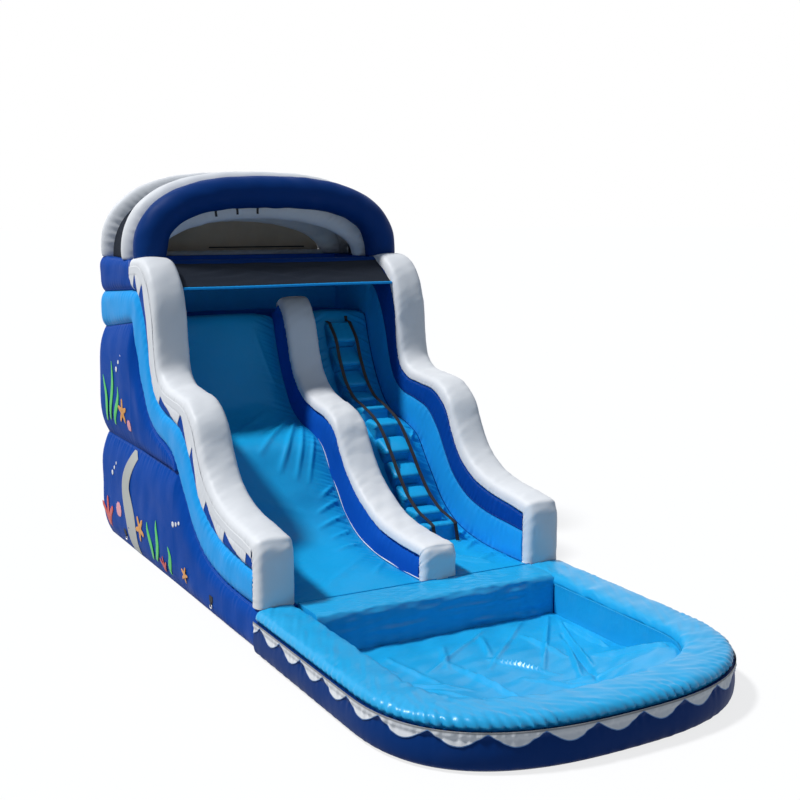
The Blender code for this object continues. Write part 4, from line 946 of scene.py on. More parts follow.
# %% Ladder pads
STEP_COUNT, STEP_WIDTH, STEP_HIGH, STEP_LOW = 11, 0.39, 0.19, 0.08
CLIMB_CROWN = 0.055
CLIMB_CENTRE = (DIVIDER_RIGHT + INNER_X) / 2
ladder_t = np.linspace(0, 15, 61)[::-1]
coarse_lane, coarse_wall = catmull(LANE_KEYS, ladder_t), catmull(WALL_KEYS, ladder_t)
SURFACE = (coarse_lane + CLIMB_CROWN * unit(coarse_wall - coarse_lane))[::2]
climb = SURFACE[(SURFACE[:, 0] > RUN * 0.245) & (SURFACE[:, 0] < RUN * 0.995)]
CLIMB_RUN = lengths(climb)
pitch = CLIMB_RUN[-1] / STEP_COUNT


def on_climb(distance):
    """The point (y, z) of the lane's top at a distance from the ladder's foot."""
    return np.array([np.interp(distance, CLIMB_RUN, climb[:, k]) for k in (0, 1)])


def closed_curve(corners, count):
    """A smooth closed curve through corner points, with count points on it."""
    corners = np.asarray(corners, float)
    around = np.vstack([corners[-2:], corners, corners[:3]])
    return catmull(around, np.linspace(2, 2 + len(corners), count, endpoint=False))


def step_pad(i):
    """One pad and the outline points that the straps rest on."""
    a, b = on_climb(i * pitch + 0.010), on_climb((i + 1) * pitch - 0.010)
    run = (b - a) / np.linalg.norm(b - a)
    lift = np.array([-run[1], run[0]])
    root = lift * 0.035
    tip, heel = a + lift * STEP_HIGH + run * 0.070, b + lift * STEP_LOW
    front = tip - lift * 0.035 - run * 0.035
    knee = heel - run * 0.035 + lift * 0.0165
    corners = [a - root, a + lift * 0.05 + run * 0.004, front - lift * 0.03, front + lift * 0.012,
               tip - run * 0.012, tip + run * 0.022 - lift * 0.002, (tip + knee) / 2 + lift * 0.010, knee,
               heel - lift * 0.0105, b - root]
    ring = closed_curve(corners, 56)
    centre = (a + heel) / 2
    u = np.sin(np.linspace(-math.pi / 2, math.pi / 2, 31))
    size = 0.25 + 0.75 * (1 - np.abs(u) ** 7) ** 0.25
    wobble = 1 + 0.010 * pleats(u[:, None] * 0.2 + 0 * ring[None, :, 0], 160 + i, 0.07)
    section = centre + (ring - centre) * (size[:, None] * wobble)[..., None]
    x = np.broadcast_to((CLIMB_CENTRE + u * STEP_WIDTH / 2)[:, None], section.shape[:2])
    rings = np.concatenate([x[..., None], section], axis=2)
    away = np.broadcast_to(((1 - np.abs(u)) * STEP_WIDTH / 2)[:, None], x.shape)
    seam = spread(lengths(ring)[None, :], away)
    made = shell(f"step_pad_{i + 1:02d}", rings, seam, LANE_CYAN, sharp=70)
    dress(made, "cyan_vinyl", f"step_{i + 1:02d}", fill=0.85)
    return tip, front, knee, heel


edges = [step_pad(i) for i in range(STEP_COUNT)]
print("ladder of", STEP_COUNT, "pads,", round(pitch, 3), "m apart")

# %% [markdown]
# ## Hand straps
#
# Two webbing straps run over the front edges of the pads, one near each side. They are sewn down on the
# lane below the first step and above the last. Between two pads the strap hangs nearly straight, so its
# path is a smooth curve through the front edges.

# %% Hand straps
STRAP_HALF, STRAP_THICKNESS = 0.0225, 0.005
surface_run = lengths(SURFACE)
foot_at = float(surface_run[np.argmin(np.abs(SURFACE[:, 0] - climb[0, 0]))])


def on_surface(distance):
    """A point of the climbing lane's top at distances from the foot of the lane."""
    return np.column_stack([np.interp(distance, surface_run, SURFACE[:, k]) for k in (0, 1)])


tips = np.array([edge[0] for edge in edges])
foot = on_surface(np.array([foot_at - 0.10, foot_at - 0.05]))
head = on_surface(np.array([foot_at + CLIMB_RUN[-1] + 0.035, foot_at + CLIMB_RUN[-1] + 0.10]))
route_keys = np.vstack([foot, edges[0][1] - (0.012, 0.004), tips, edges[-1][2], edges[-1][3], head])
route = catmull(route_keys, evenly(route_keys, 0.012))
lean = unit(np.gradient(route, axis=0))
normal = np.column_stack([-lean[:, 1], lean[:, 0]])
run_along = lengths(route)
sag = -0.004 + 0.004 * np.sin(run_along / pitch * 2 * math.pi)
for side, sign in (("left", -1), ("right", 1)):
    middle = CLIMB_CENTRE + sign * (STEP_WIDTH / 2 - 2 * STRAP_HALF)
    w = np.linspace(-1, 1, 7)
    low_line = route + normal * (0.004 + sag * 0.3)[:, None]
    high_line = low_line + normal * STRAP_THICKNESS
    sway = 0.004 * np.sin(run_along * 2.1 + sign)[:, None]
    top = np.concatenate([(middle + sway + w * STRAP_HALF)[..., None],
                          np.broadcast_to(high_line[:, None], (len(route), 7, 2))], axis=2)
    bottom = np.concatenate([(middle + sway + w[::-1] * STRAP_HALF)[..., None],
                             np.broadcast_to(low_line[:, None], (len(route), 7, 2))], axis=2)
    rings = np.concatenate([top, bottom], axis=1)
    across = np.concatenate([w, w[::-1]]) * STRAP_HALF + STRAP_HALF
    seam = spread(run_along[:, None], across[None, :])
    dress(shell(side + "_webbing_strap", rings, seam, WEBBING, 30), "black_webbing", side + "_hand_strap")

# %% [markdown]
# ## Piping
#
# A white cord is sewn into the seam between the slide's lane and the divider. It is a thin round tube
# carried along the edge of the lane.


# %% Piping
def tube(path, radius, sides=10):
    """Rings of a round section carried along a path of points, each square to the path."""
    ahead = unit(np.gradient(path, axis=0))
    helper = np.where(np.abs(ahead[:, 2:]) > 0.9, [[1.0, 0, 0]], [[0, 0, 1.0]])
    first = unit(np.cross(ahead, helper))
    second = np.cross(ahead, first)
    turn = np.linspace(0, 2 * math.pi, sides, endpoint=False)
    radius = np.broadcast_to(radius, len(path))[:, None, None]
    return path[:, None] + radius * (np.cos(turn)[None, :, None] * first[:, None]
                                     + np.sin(turn)[None, :, None] * second[:, None])


def tube_seam(path, sides=10):
    """The seam map of a tube: the distance along it, and a constant distance from any seam."""
    return spread(lengths(path)[:, None], 0.2 + np.zeros(sides)[None, :])


PIPING_RADIUS = 0.0075
keep = (LANE[:, 0] < 2.6) & (LANE[:, 0] > 0.10)
line = LANE[keep] + 0.016 * STACK[keep]
path = np.column_stack([np.full(len(line), DIVIDER_LEFT + 0.002), line])
dress(shell("lane_piping", tube(path, PIPING_RADIUS), tube_seam(path), WHITE), "white_vinyl")
print("piping:", round(float(lengths(path)[-1]), 2), "m long")

# %% [markdown]
# ## Platform and rear wall
#
# Behind the top of the lanes lies a small padded deck. The rear wall has the same four levels as the
# flanks. Its panels are the tallest plain ones, so they bulge the most. Beside the zip the lower panel
# lies smooth, so that no fold comes through the tape.

# %% Platform and rear wall
half = INNER_X - GAP
a = np.sin(np.linspace(-math.pi / 2, math.pi / 2, 61))
b = np.linspace(0, 1, 25)
y = BED[0, 0] + GAP + b * (REAR_WALL_Y - BED[0, 0] - 2 * GAP)
crown = 0.044 * (1 - a[None, :] ** 8) * (1 - np.abs(2 * b[:, None] - 1) ** 5)
roll = 0.004 * swells(a[None, :] * half, y[:, None], 201, 0.4) * (crown > 0.02)
top = spread(half * a[None, :], y[:, None], DECK_HEIGHT + crown + roll)
floor_z = np.full((len(b), 1), BED[0, 1])
right_low = np.stack([np.full((len(b), 1), half), y[:, None], floor_z], axis=2)
left_low = right_low * (-1, 1, 1)
rings = np.concatenate([top, right_low, left_low], axis=1)
from_side = np.broadcast_to((1 - np.abs(a)) * half, (len(b), len(a)))
away = np.concatenate([from_side, np.full((len(b), 2), 0.3)], axis=1)
seam = spread(y[:, None], away)
dress(shell("padded_deck", rings, seam, ROYAL), "royal_vinyl", "platform_deck", fill=0.7)


REAR_SWELL = 0.08
ZIP_X, ZIP_Z, ZIP_HALF, TAPE_HALF = -0.75, 0.52, 0.30, 0.0225


def rear_swell(share, height):
    """Where a rear panel's face stands at a share of its height."""
    swell = REAR_SWELL * min(1.0, (height / PANEL_SEAM) ** 2)
    return BODY_LENGTH - PINCH + (PINCH + swell) * (1 - np.abs(2 * share - 1) ** 4)


def beside_zip(x, z):
    """One within 3 cm of the zip's tape, falling to zero 12 cm from it, by the larger of two distances."""
    far = np.maximum(np.abs(x - ZIP_X) - ZIP_HALF, np.abs(z - ZIP_Z) - TAPE_HALF)
    t = np.clip((0.12 - far) / 0.09, 0, 1)
    return t * t * (3 - 2 * t)


def rear_panel(name, low, high, finish, seed):
    """A panel between the two side walls: its outside bulges, its back is flat against the tower."""
    x = np.linspace(-INNER_X + GAP, INNER_X - GAP, 121)
    v, height = ROWS[None, :], high - low
    s = x[:, None] + 2
    fold = gather(v * height) * pleats(s, seed) + gather((1 - v) * height) * pleats(s, seed + 1)
    calm = np.clip(np.minimum(v, 1 - v) * height / 0.10, 0, 1)
    z = low + v * height
    flat = beside_zip(x[:, None], z)
    relief = -0.0065 * (fold + 0.6) + 0.008 * swells(s, v * height, seed + 2, 0.55) * calm
    face = rear_swell(v, height) + relief * (1 - flat) - 0.0008 * flat
    outside = spread(x[:, None], face, z)
    inside = spread(x[:, None], REAR_WALL_Y, (low + (1 - v) * height))
    rings = np.concatenate([outside, inside], axis=1)
    away = np.minimum(v, 1 - v) * height + 0 * x[:, None]
    away = np.concatenate([away, away[:, ::-1]], axis=1)
    seam = spread(s, away)
    return shell(name, rings, seam, finish)


LEVELS = (("rear_lower", "rear_lower_panel", 0, PANEL_SEAM - GAP, NAVY, "navy_vinyl"),
          ("rear_upper", "rear_upper_panel", PANEL_SEAM + GAP, TOWER_LOW - GAP, NAVY, "navy_vinyl"),
          ("rear_sky", "rear_sky_band", TOWER_LOW + GAP, TOWER_MIDDLE - GAP, SKY, "sky_vinyl"),
          ("rear_navy", "rear_navy_band", TOWER_MIDDLE + GAP, WALL_TOP, NAVY, "navy_vinyl"))
for k, (name, node_name, low, high, finish, slot) in enumerate(LEVELS):
    dress(rear_panel(name + "_skin", low, high, finish, 210 + 5 * k), slot, node_name, fill=0.95)

# %% [markdown]
# ## The hood's arches
#
# Three arched tubes stand on the tower. Each lies between an outer and an inner superellipse, a curve
# flatter on top than a circle, and an oval section joins the two at every station. Where the navy tube is
# sewn to the white one, both are gathered: short pleats stand across the seam, all round the arch. The
# tubes' feet are cut to the walls that they stand on.

# %% Arches
OUTER_POWER, FRONT_POWER, INNER_POWER = 2.6, 2.9, 2.1
FRONT_RISE, WHITE_RISE = 1.045, 1.105
FRONT_DEPTH, MIDDLE_DEPTH, REAR_DEPTH = 0.41, 0.35, 0.27
FRONT_ARCH_Y = RUN - 0.04
MIDDLE_ARCH_Y = FRONT_ARCH_Y + (FRONT_DEPTH + MIDDLE_DEPTH) / 2 + GAP
REAR_ARCH_Y = BODY_LENGTH - REAR_DEPTH / 2


def arch_curve(half, rise, power, count=240):
    """Points (x, z) of a superellipse over the walls' top, evenly spaced from its left foot to its right."""
    turn = np.linspace(math.pi, 0, 4000)
    fine = np.column_stack([half * np.sign(np.cos(turn)) * np.abs(np.cos(turn)) ** (2 / power),
                            WALL_TOP + rise * np.abs(np.sin(turn)) ** (2 / power)])
    run = lengths(fine)
    even = np.linspace(0, run[-1], count)
    points = np.column_stack([np.interp(even, run, fine[:, k]) for k in (0, 1)])
    points[[0, -1], 1] = WALL_TOP
    return points


def arch(name, y, outer, inner, depth, finish, seed, seams):
    """An oval section between an outer and an inner curve. seams are its turns that are sewn and gathered."""
    outer, inner = arch_curve(*outer), arch_curve(*inner)
    middle, reach = (outer + inner) / 2, (outer - inner) / 2
    s = lengths(middle)[:, None]
    t = np.linspace(0, 2 * math.pi, 56, endpoint=False)[None, :]
    away = np.full((len(middle), 56), 9.0)
    for turn in seams:
        away = np.minimum(away, depth / 2 * np.abs((t - turn + math.pi) % (2 * math.pi) - math.pi))
    pucker = 0.008 * gather(away, 0.035) * (pleats(s, seed, 0.07) - 0.7)
    pucker = pucker + 0.004 * swells(s, t * depth / 2, seed + 1, 0.30) - 0.003
    pinch = 1 - 0.07 * np.exp(-np.minimum(s, s[::-1]) / 0.05)
    wide = np.linalg.norm(reach, axis=1)[:, None]
    radial = (wide + pucker) * pinch * np.cos(t)
    along_y = (depth / 2 + pucker) * pinch * np.sin(t)
    direction = reach / wide
    rings = np.stack([middle[:, :1] + radial * direction[:, :1], y + along_y,
                      middle[:, 1:] + radial * direction[:, 1:]], axis=2)
    for end in (0, -1):
        ground = np.interp(rings[end, :, 1], WALL[::-1, 0], WALL[::-1, 1], right=WALL_TOP)
        rings[end, :, 2] = np.maximum(ground, WALL_TOP) + (0.0005 if y > RUN else -0.03)
    rings[1, :, 2] = np.maximum(rings[1, :, 2], rings[0, :, 2] + 0.004)
    rings[-2, :, 2] = np.maximum(rings[-2, :, 2], rings[-1, :, 2] + 0.004)
    seam = spread(s, away)
    return shell(name, rings, seam, finish, sharp=80), outer, inner


FRONT_FOOT = HALF_WIDTH - 0.035
FRONT_OUTER = (FRONT_FOOT, FRONT_RISE, OUTER_POWER)
FRONT_INNER = (FRONT_FOOT - 0.42, FRONT_RISE - 0.41, FRONT_POWER)
WHITE_OUTER = (HALF_WIDTH, WHITE_RISE, OUTER_POWER)
MIDDLE_INNER = (HALF_WIDTH - 0.47, WHITE_RISE - 0.61, INNER_POWER)
REAR_INNER = (HALF_WIDTH - 0.55, WHITE_RISE - 0.66, INNER_POWER)
TO_REAR, TO_FRONT = math.pi / 2, math.pi * 1.5
# The navy tube takes the darker navy copy: painted shade.
made, _, front_inner = arch("front_hood_tube", FRONT_ARCH_Y, FRONT_OUTER, FRONT_INNER, FRONT_DEPTH,
                            SHADE_DARKENED_NAVY, 230, (TO_REAR,))
dress(made, "navy_vinyl", "front_arch", fill=0.95)
made, middle_outer, middle_inner = arch("middle_hood_tube", MIDDLE_ARCH_Y, WHITE_OUTER, MIDDLE_INNER,
                                        MIDDLE_DEPTH, WHITE, 234, (TO_FRONT, TO_REAR))
dress(made, "white_vinyl", "middle_arch", fill=0.95)
made, rear_outer, rear_inner = arch("rear_hood_tube", REAR_ARCH_Y, WHITE_OUTER, REAR_INNER, REAR_DEPTH,
                                    WHITE, 238, (TO_FRONT,))
dress(made, "white_vinyl", "rear_arch", fill=0.95)

# %% [markdown]
# ## Nets
#
# A shade net is stretched from the middle arch to the rear one, and a paler net closes the window under
# the rear arch. A third net slopes over the top of the lanes, so that nobody jumps over the hood's
# mouth. That one is slack: it sags between its edges and has loose folds. Its lower edge is sewn round
# a sky blue tube.

# %% Nets
SEWN = 0.75
low_line = middle_inner + SEWN * (middle_outer - middle_inner)
high_line = rear_inner + SEWN * (rear_outer - rear_inner)
low_y = MIDDLE_ARCH_Y + MIDDLE_DEPTH / 2 * math.sin(math.pi / 3) - 0.002
high_y = REAR_ARCH_Y - REAR_DEPTH / 2 * math.sin(math.pi / 3) + 0.002
w = np.linspace(0, 1, 15)
outline = low_line[:, None] + w[None, :, None] * (high_line - low_line)[:, None]
slope = unit(np.gradient((low_line + high_line) / 2, axis=0))
dip = 0.030 * np.sin(math.pi * w)[None, :, None] * np.column_stack([slope[:, 1], -slope[:, 0]])[:, None]
outline = outline + dip * np.minimum(1, 8 * np.linspace(0, 1, 240) * np.linspace(1, 0, 240))[:, None, None]
net_y = np.broadcast_to(low_y + w * (high_y - low_y), outline.shape[:2])
grid = np.stack([outline[..., 0], net_y, outline[..., 1]], axis=2)
grid[[0, -1], :, 2] = WALL_TOP + 0.001
run = lengths(low_line)
seam = spread(run[:, None], (w * (high_y - low_y))[None, :])
shade = sheet_grid("hood_shade", grid, seam, NET, 0.005)
dress(shade, "dark_netting", "hood_shade_net")

SILL_TOP = WALL_TOP + 0.055
edge = rear_inner[rear_inner[:, 1] > SILL_TOP + 0.015]
x = np.linspace(edge[0, 0], edge[-1, 0], 90) * 0.998
top_z = np.interp(x, rear_inner[:, 0], rear_inner[:, 1]) + 0.006
w = np.linspace(0, 1, 24)
z = SILL_TOP - 0.010 + w[None, :] * (top_z[:, None] - SILL_TOP + 0.010)
billow = 0.02 * np.sin(math.pi * w)[None, :] * np.cos(x[:, None] * 1.1)
grid = spread(x[:, None], REAR_ARCH_Y + billow, z)
seam = spread(x[:, None] + 2, z)
window = sheet_grid("window_mesh", grid, seam, WINDOW, 0.005)
dress(window, "dark_netting", "rear_window_net")

net_top, net_foot = in_metres([(0.949, 1.0015), (0.8205, 0.906)], WALL_TOP, RIM_HEIGHT)
down = unit(net_foot - net_top)
HEM_RADIUS = 0.017
VEIL_FOLDS = (((-1.1, 0.05), (0.3, 0.50)), ((-0.4, 0.10), (1.2, 0.42)), ((0.2, 0.30), (1.35, 0.10)),
              ((-1.3, 0.35), (-0.2, 0.15)))
edge = net_foot - down * HEM_RADIUS
x = np.linspace(-INNER_X + GAP, INNER_X - GAP, 150)
w = np.linspace(0, 1, 30)
slack = np.sin(math.pi * w)[None, :] * (1 - np.abs(x[:, None] / INNER_X) ** 4)
fold = 0.012 * swells(x[:, None] * 0.35, w[None, :] * 0.55, 250, 0.16)
for start, end in VEIL_FOLDS:
    fold = fold + ridge(x[:, None], w[None, :] * 0.6, start, end, 0.030, 0.026)
off = -0.030 * slack + fold * slack
line = net_top + w[None, :, None] * (edge - net_top)
up_net = np.array([-down[1], down[0]]) * np.sign(-down[0])
grid = np.concatenate([np.broadcast_to(x[:, None, None], (150, 30, 1)),
                       line + off[..., None] * np.abs(up_net)], axis=2)
seam = spread(x[:, None] + 2, w[None, :] * 0.6)
veil = sheet_grid("lane_veil", grid, seam, NET, 0.004)
dress(veil, "dark_netting", "lane_net")
hem_path = np.column_stack([x, np.broadcast_to(net_foot, (150, 2))])
hem_path[:, 2] += 0.004 * np.sin(x * 1.9) - 0.004
hem_radius = HEM_RADIUS + 0.0012 * pleats(x, 260, 0.05)
hem = shell("veil_hem", tube(hem_path, hem_radius, 14), tube_seam(hem_path, 14), SKY)
dress(hem, "sky_vinyl", "lane_net_hem")

strip = grid[:, :5] + (0, 0, 0.006)
# The border takes the darker navy copy: painted shade.
border = sheet_grid("veil_border", strip, seam[:, :5], SHADE_DARKENED_NAVY, 0.003)
dress(border, "navy_vinyl")

SILL_HALF, SILL_HEIGHT = 0.124, 0.053
turn = np.linspace(0, math.pi, 21)
end = rear_inner[-1, 0] + 0.004
x = np.linspace(-end, end, 120)
puff = 1 + 0.03 * pleats(x[:, None] + 0 * turn[None, :], 264, 0.11)
sill = spread(x[:, None], REAR_ARCH_Y + SILL_HALF * np.cos(turn)[None, :],
              WALL_TOP + GAP + SILL_HEIGHT * puff * np.abs(np.sin(turn)[None, :]) ** 0.7)
away = np.broadcast_to(0.2 * np.sin(turn), (120, 21))
seam = spread(x[:, None] + 2, away)
dress(shell("window_sill", sill, seam, WHITE), "white_vinyl", "rear_sill", fill=0.8)
strap_x = np.linspace(-0.365, 1.06, 40)
strap_z = 0.008 * np.linspace(-1, 1, 5)
strap = spread(strap_x[:, None], REAR_ARCH_Y - 0.012, SILL_TOP + 0.040 + strap_z[None, :])
seam = spread(strap_x[:, None] + 2, strap_z[None, :])
dress(sheet_grid("window_strap", strap, seam, WEBBING, 0.003), "black_webbing")

TIE_HALF, TIE_SKIN = 0.015, 0.002
for i, share in enumerate((-0.52, -0.32, -0.12)):
    at = INNER_X * share
    k = int(np.searchsorted(front_inner[:, 0], at))
    base = np.array([at, np.interp(at, front_inner[:, 0], front_inner[:, 1])])
    along = unit(front_inner[k] - front_inner[k - 1])
    hang = np.linspace(-0.010, 0.071, 12)
    curl = 0.010 * np.sin(np.linspace(0, 2.4, 12)) * (1, -1, 1)[i]
    centre = np.column_stack([base[0] + hang * along[1], FRONT_ARCH_Y + curl, base[1] - hang * along[0]])
    sideways = np.array([along[0], 0, along[1]])
    w = np.array([-1, -0.5, 0, 0.5, 1])
    front = centre[:, None] + w[None, :, None] * TIE_HALF * sideways + (0, -TIE_SKIN, 0)
    back = centre[:, None] + w[None, ::-1, None] * TIE_HALF * sideways + (0, TIE_SKIN, 0)
    rings = np.concatenate([front, back], axis=1)
    across = np.concatenate([w, w[::-1]]) * TIE_HALF
    seam = spread(hang[:, None], across[None, :])
    dress(shell(f"hose_strap_{i + 1}", rings, seam, WEBBING, 30), "black_webbing", f"hose_tie_{i + 1:02d}")
print("hood done")

# %% [markdown]
# ## The pool's rim
#
# The pool's outline runs straight forward from the walls and then round the front along a
# superellipse. The rim is one air tube with a flat top under a cyan cover. The cover's outer edge is
# sewn down, and in front its seam is gathered hard, so deep pleats stand there.

# %% Pool rim and cover
POOL_HALF, POOL_LENGTH, POOL_STRAIGHT, RIM_WIDTH = 1.86, 3.42, 2.00, 0.44
POOL_POWER = 2.6
turn = np.linspace(0, math.pi / 2, 900)
curve_x = -POOL_HALF * np.cos(turn) ** (2 / POOL_POWER)
curve_y = -POOL_STRAIGHT - (POOL_LENGTH - POOL_STRAIGHT) * np.sin(turn) ** (2 / POOL_POWER)
straight_y = np.linspace(-GAP, -POOL_STRAIGHT, 60)[:-1]
straight = np.column_stack([np.full(len(straight_y), -POOL_HALF), straight_y])
left = np.vstack([straight, np.column_stack([curve_x, curve_y])])
outline = np.vstack([left, left[-2::-1] * (-1, 1)])
run = lengths(outline)
RIM_RUN = np.linspace(0, run[-1], 470)
RIM_PATH = np.column_stack([np.interp(RIM_RUN, run, outline[:, k]) for k in (0, 1)])
slope = unit(np.gradient(RIM_PATH, axis=0))
slope[[0, -1]] = (0, -1), (0, 1)
INWARD = np.column_stack([-slope[:, 1], slope[:, 0]])
COVER_LOW = RIM_HEIGHT - 0.13
FRONT_SHARE = np.clip((-RIM_PATH[:, 1] - 1.6) / 1.0, 0, 1)[:, None]


def round_rim(name, section, finish, offsets, seam_rows, sharp=60):
    """Carries a closed section of (inward, height) round the pool, with offsets added at each station."""
    inward = section[None, :, 0] + offsets[..., 0]
    height = section[None, :, 1] + offsets[..., 1]
    flat = RIM_PATH[:, None] + inward[..., None] * INWARD[:, None]
    rings = np.concatenate([flat, height[..., None]], axis=2)
    away = np.broadcast_to(seam_rows, inward.shape)
    seam = spread(RIM_RUN[:, None], away)
    return shell(name, rings, seam, finish, sharp)


def dense_section(corners, count):
    """A smooth open curve through section corners; the ring closes with one straight side."""
    return catmull(corners, np.linspace(0, len(corners) - 1, count))


side_z = COVER_LOW
RIM_CORNERS = [(0.030, 0.0), (-0.030, side_z * 0.14), (-0.050, side_z * 0.45), (-0.036, side_z * 0.82),
               (-0.002, side_z), (RIM_WIDTH - 0.010, side_z), (RIM_WIDTH, side_z * 0.8), (RIM_WIDTH, 0.0)]
RIM_SEED, RIM_PLEAT = 300, 0.07
section = np.minimum(dense_section(RIM_CORNERS, 57), (RIM_WIDTH, side_z))
outside = (section[:, 0] < 0.1)[None, :]
from_top = np.clip(side_z - section[:, 1], 0, None)[None, :]
from_ground = np.clip(section[:, 1], 0, None)[None, :]
fold = gather(from_top, 0.03) * pleats(RIM_RUN[:, None], RIM_SEED, RIM_PLEAT) * outside
low_fold = gather(from_ground, 0.03) * pleats(RIM_RUN[:, None], RIM_SEED + 1, 0.10) * outside
rim_relief = 0.005 * (fold + 0.5 * outside) + 0.003 * low_fold
offsets = spread(rim_relief, 0.0)
# The rim takes the darker navy copy: painted shade.
made = round_rim("rim_tube", section, SHADE_DARKENED_NAVY, offsets, np.where(outside, from_top, 0.3))
dress(made, "navy_vinyl", "pool_rim", fill=0.9)

shoulder = RIM_WIDTH * 0.13
cover_corners = [(0.004, side_z + GAP), (-0.024, side_z + 0.046), (0.0, side_z + 0.094),
                 (shoulder, side_z + 0.120), (RIM_WIDTH * 0.42, RIM_HEIGHT),
                 (RIM_WIDTH - shoulder, side_z + 0.117), (RIM_WIDTH, side_z + 0.058),
                 (RIM_WIDTH - 0.010, side_z + GAP)]
section = dense_section(cover_corners, 64)
run_in = lengths(section)[None, :]
s = RIM_RUN[:, None]
crimp = pleats(s + 0.35 * run_in, 310, 0.075)
depth = (0.0045 + 0.0105 * FRONT_SHARE) * gather(run_in, 0.055)
slack = 0.006 * swells(s, run_in, 312, 0.45) + 0.005 * swells(s + 0.9 * run_in, run_in, 313, 0.17)
slack = slack * np.clip(run_in / 0.15, 0, 1)
inner_fold = 0.006 * gather(np.clip(run_in[:, -1:] - run_in, 0, None), 0.06) * pleats(s, 314, 0.16)
lift = depth * (crimp - 0.4) + slack + inner_fold
lift = lift * np.clip(np.minimum(run_in, run_in[:, -1:] - run_in) / 0.015, 0, 1)
tilt = np.clip((section[:, 0] + 0.02) / 0.08, 0, 1)[None, :]
offsets = np.stack([-lift * (1 - tilt), lift * tilt], axis=2)
made = round_rim("rim_cover", section, CYAN, offsets, np.minimum(run_in, 0.25))
dress(made, "cyan_vinyl", "pool_rim_cover", fill=0.6)

# %% [markdown]
# ## Scallop trim
#
# A white trim with bell-shaped scallops hangs over the rim from the cover's seam. Its lower edge is a
# cosine squeezed so that the bells are broad at the bottom. The trim follows the rim's bulge and its
# pleats, a few millimetres proud. A fine blue line edges each bell.

# %% Scallop trim
STRIP_DEPTH, BELL_DEPTH, BELL_PITCH, FIRST_BELL, BELL_BREADTH = 0.022, 0.110, 0.4625, 0.41, 0.58


def bell_edge(s):
    """The trim's depth: a narrow strip plus a bell every 46 cm, broadest where it is deepest."""
    wave = 0.5 + 0.5 * np.cos(2 * math.pi * (s - FIRST_BELL) / BELL_PITCH)
    return STRIP_DEPTH + BELL_DEPTH * np.clip(wave, 0, 1) ** BELL_BREADTH


def trim_material():
    """White fabric whose lower edge has a blue outline, read from the seam map's second number."""
    made = WHITE.copy()
    made.name = "scallop_fabric"
    tree = made.node_tree
    shader = tree.nodes["Principled BSDF"]
    colour = shader.inputs["Base Color"].links[0].from_socket
    seam_map = node(tree, "ShaderNodeUVMap", uv_map="edge")
    edge = node(tree, "ShaderNodeSeparateXYZ", {0: seam_map.outputs[0]}).outputs[1]
    outline = node(tree, "ShaderNodeMapRange", {0: edge, 1: 0.006, 2: 0.011, 3: 1.0, 4: 0.0}).outputs[0]
    tint = blend_colours(tree, outline, colour, (0.10, 0.24, 0.52, 1.0))
    tree.links.new(tint, shader.inputs["Base Color"])
    return made


TRIM = trim_material()
fine_run = np.linspace(0.004, RIM_RUN[-1] - 0.004, 1500)
path = np.column_stack([np.interp(fine_run, RIM_RUN, RIM_PATH[:, k]) for k in (0, 1)])
inward = unit(np.column_stack([np.interp(fine_run, RIM_RUN, INWARD[:, k]) for k in (0, 1)]))
u = np.linspace(0, 1, 12)[None, :]
depth = bell_edge(fine_run)[:, None]
rim_side = dense_section(RIM_CORNERS, 57)[:29]
z = side_z + 0.019 - u * depth
skin = np.interp(z, rim_side[:, 1], rim_side[:, 0])
fold = gather(np.clip(side_z - z, 0, None), 0.03) * pleats(fine_run[:, None], RIM_SEED, RIM_PLEAT)
skin += 0.005 * (fold + 0.5) - 0.0055
skin = np.minimum(skin, -0.0255 - 0.2 * np.clip(side_z + 0.009 - z, 0, 0.04))
grid = np.concatenate([path[:, None] + skin[..., None] * inward[:, None], z[..., None]], axis=2)
seam = spread(fine_run[:, None], side_z - z)
trim = sheet_grid("scallop_trim", grid, seam, TRIM, 0.002, 1)
edge_map = trim.data.uv_layers.new(name="edge")
corner = np.empty(len(trim.data.loops), np.int32)
trim.data.loops.foreach_get("vertex_index", corner)
to_edge = spread(fine_run[:, None], (1 - u) * depth).reshape(-1, 2)
edge_map.data.foreach_set("uv", to_edge[corner].astype(np.float32).ravel())
dress(trim, "white_vinyl")

# %% [markdown]
# ## Apron and pool liner
#
# At the foot of the lanes a cyan apron hangs down into the pool. It is slack, with level creases on its
# front. The liner lies loose on the ground and climbs to the rim at the front and the sides. Water and
# feet have pushed it into long folds that run towards the corners, so it is a height above the floor
# with ridges along a list of lines. A thin lining covers the inner side of the rim.

# %% Apron and liner
half = INNER_X - 2 * GAP
APRON_DEPTH = 0.460
apron_corners = [(-GAP, 0.0), (-GAP, 0.44), (-0.0012, 0.468), (-0.010, 0.4745), (-0.05, 0.4755),
                 (-0.20, 0.4755), (-0.37, 0.474), (-0.425, 0.462), (-0.452, 0.42), (-APRON_DEPTH, 0.36),
                 (-0.458, 0.24), (-APRON_DEPTH, 0.10), (-APRON_DEPTH, 0.0)]
section = dense_section(apron_corners, 90)
x = np.linspace(-half, half, 190)
run_down = lengths(section)[None, :]
front_part = np.clip((-section[:, 0] - 0.30) / 0.12, 0, 1)[None, :]
height = section[None, :, 1]
level = 0.006 * swells(x[:, None] * 0.25, height, 320, 0.09)
level = level + 0.010 * ridge(x[:, None], height, (-1.3, 0.20), (0.4, 0.23), 0.018, 1.0)
level = level + 0.010 * ridge(x[:, None], height, (-0.2, 0.31), (1.35, 0.27), 0.016, 1.0)
level = level - 0.012 * ridge(x[:, None], height, (0.1, 0.16), (1.3, 0.12), 0.022, 1.0)
level = level + 0.006 * pleats(x[:, None] + 0.2 * height, 322, 0.21)
on_top = np.clip((height - 0.44) / 0.03, 0, 1) * np.clip(-section[None, :, 0] / 0.05, 0, 1)
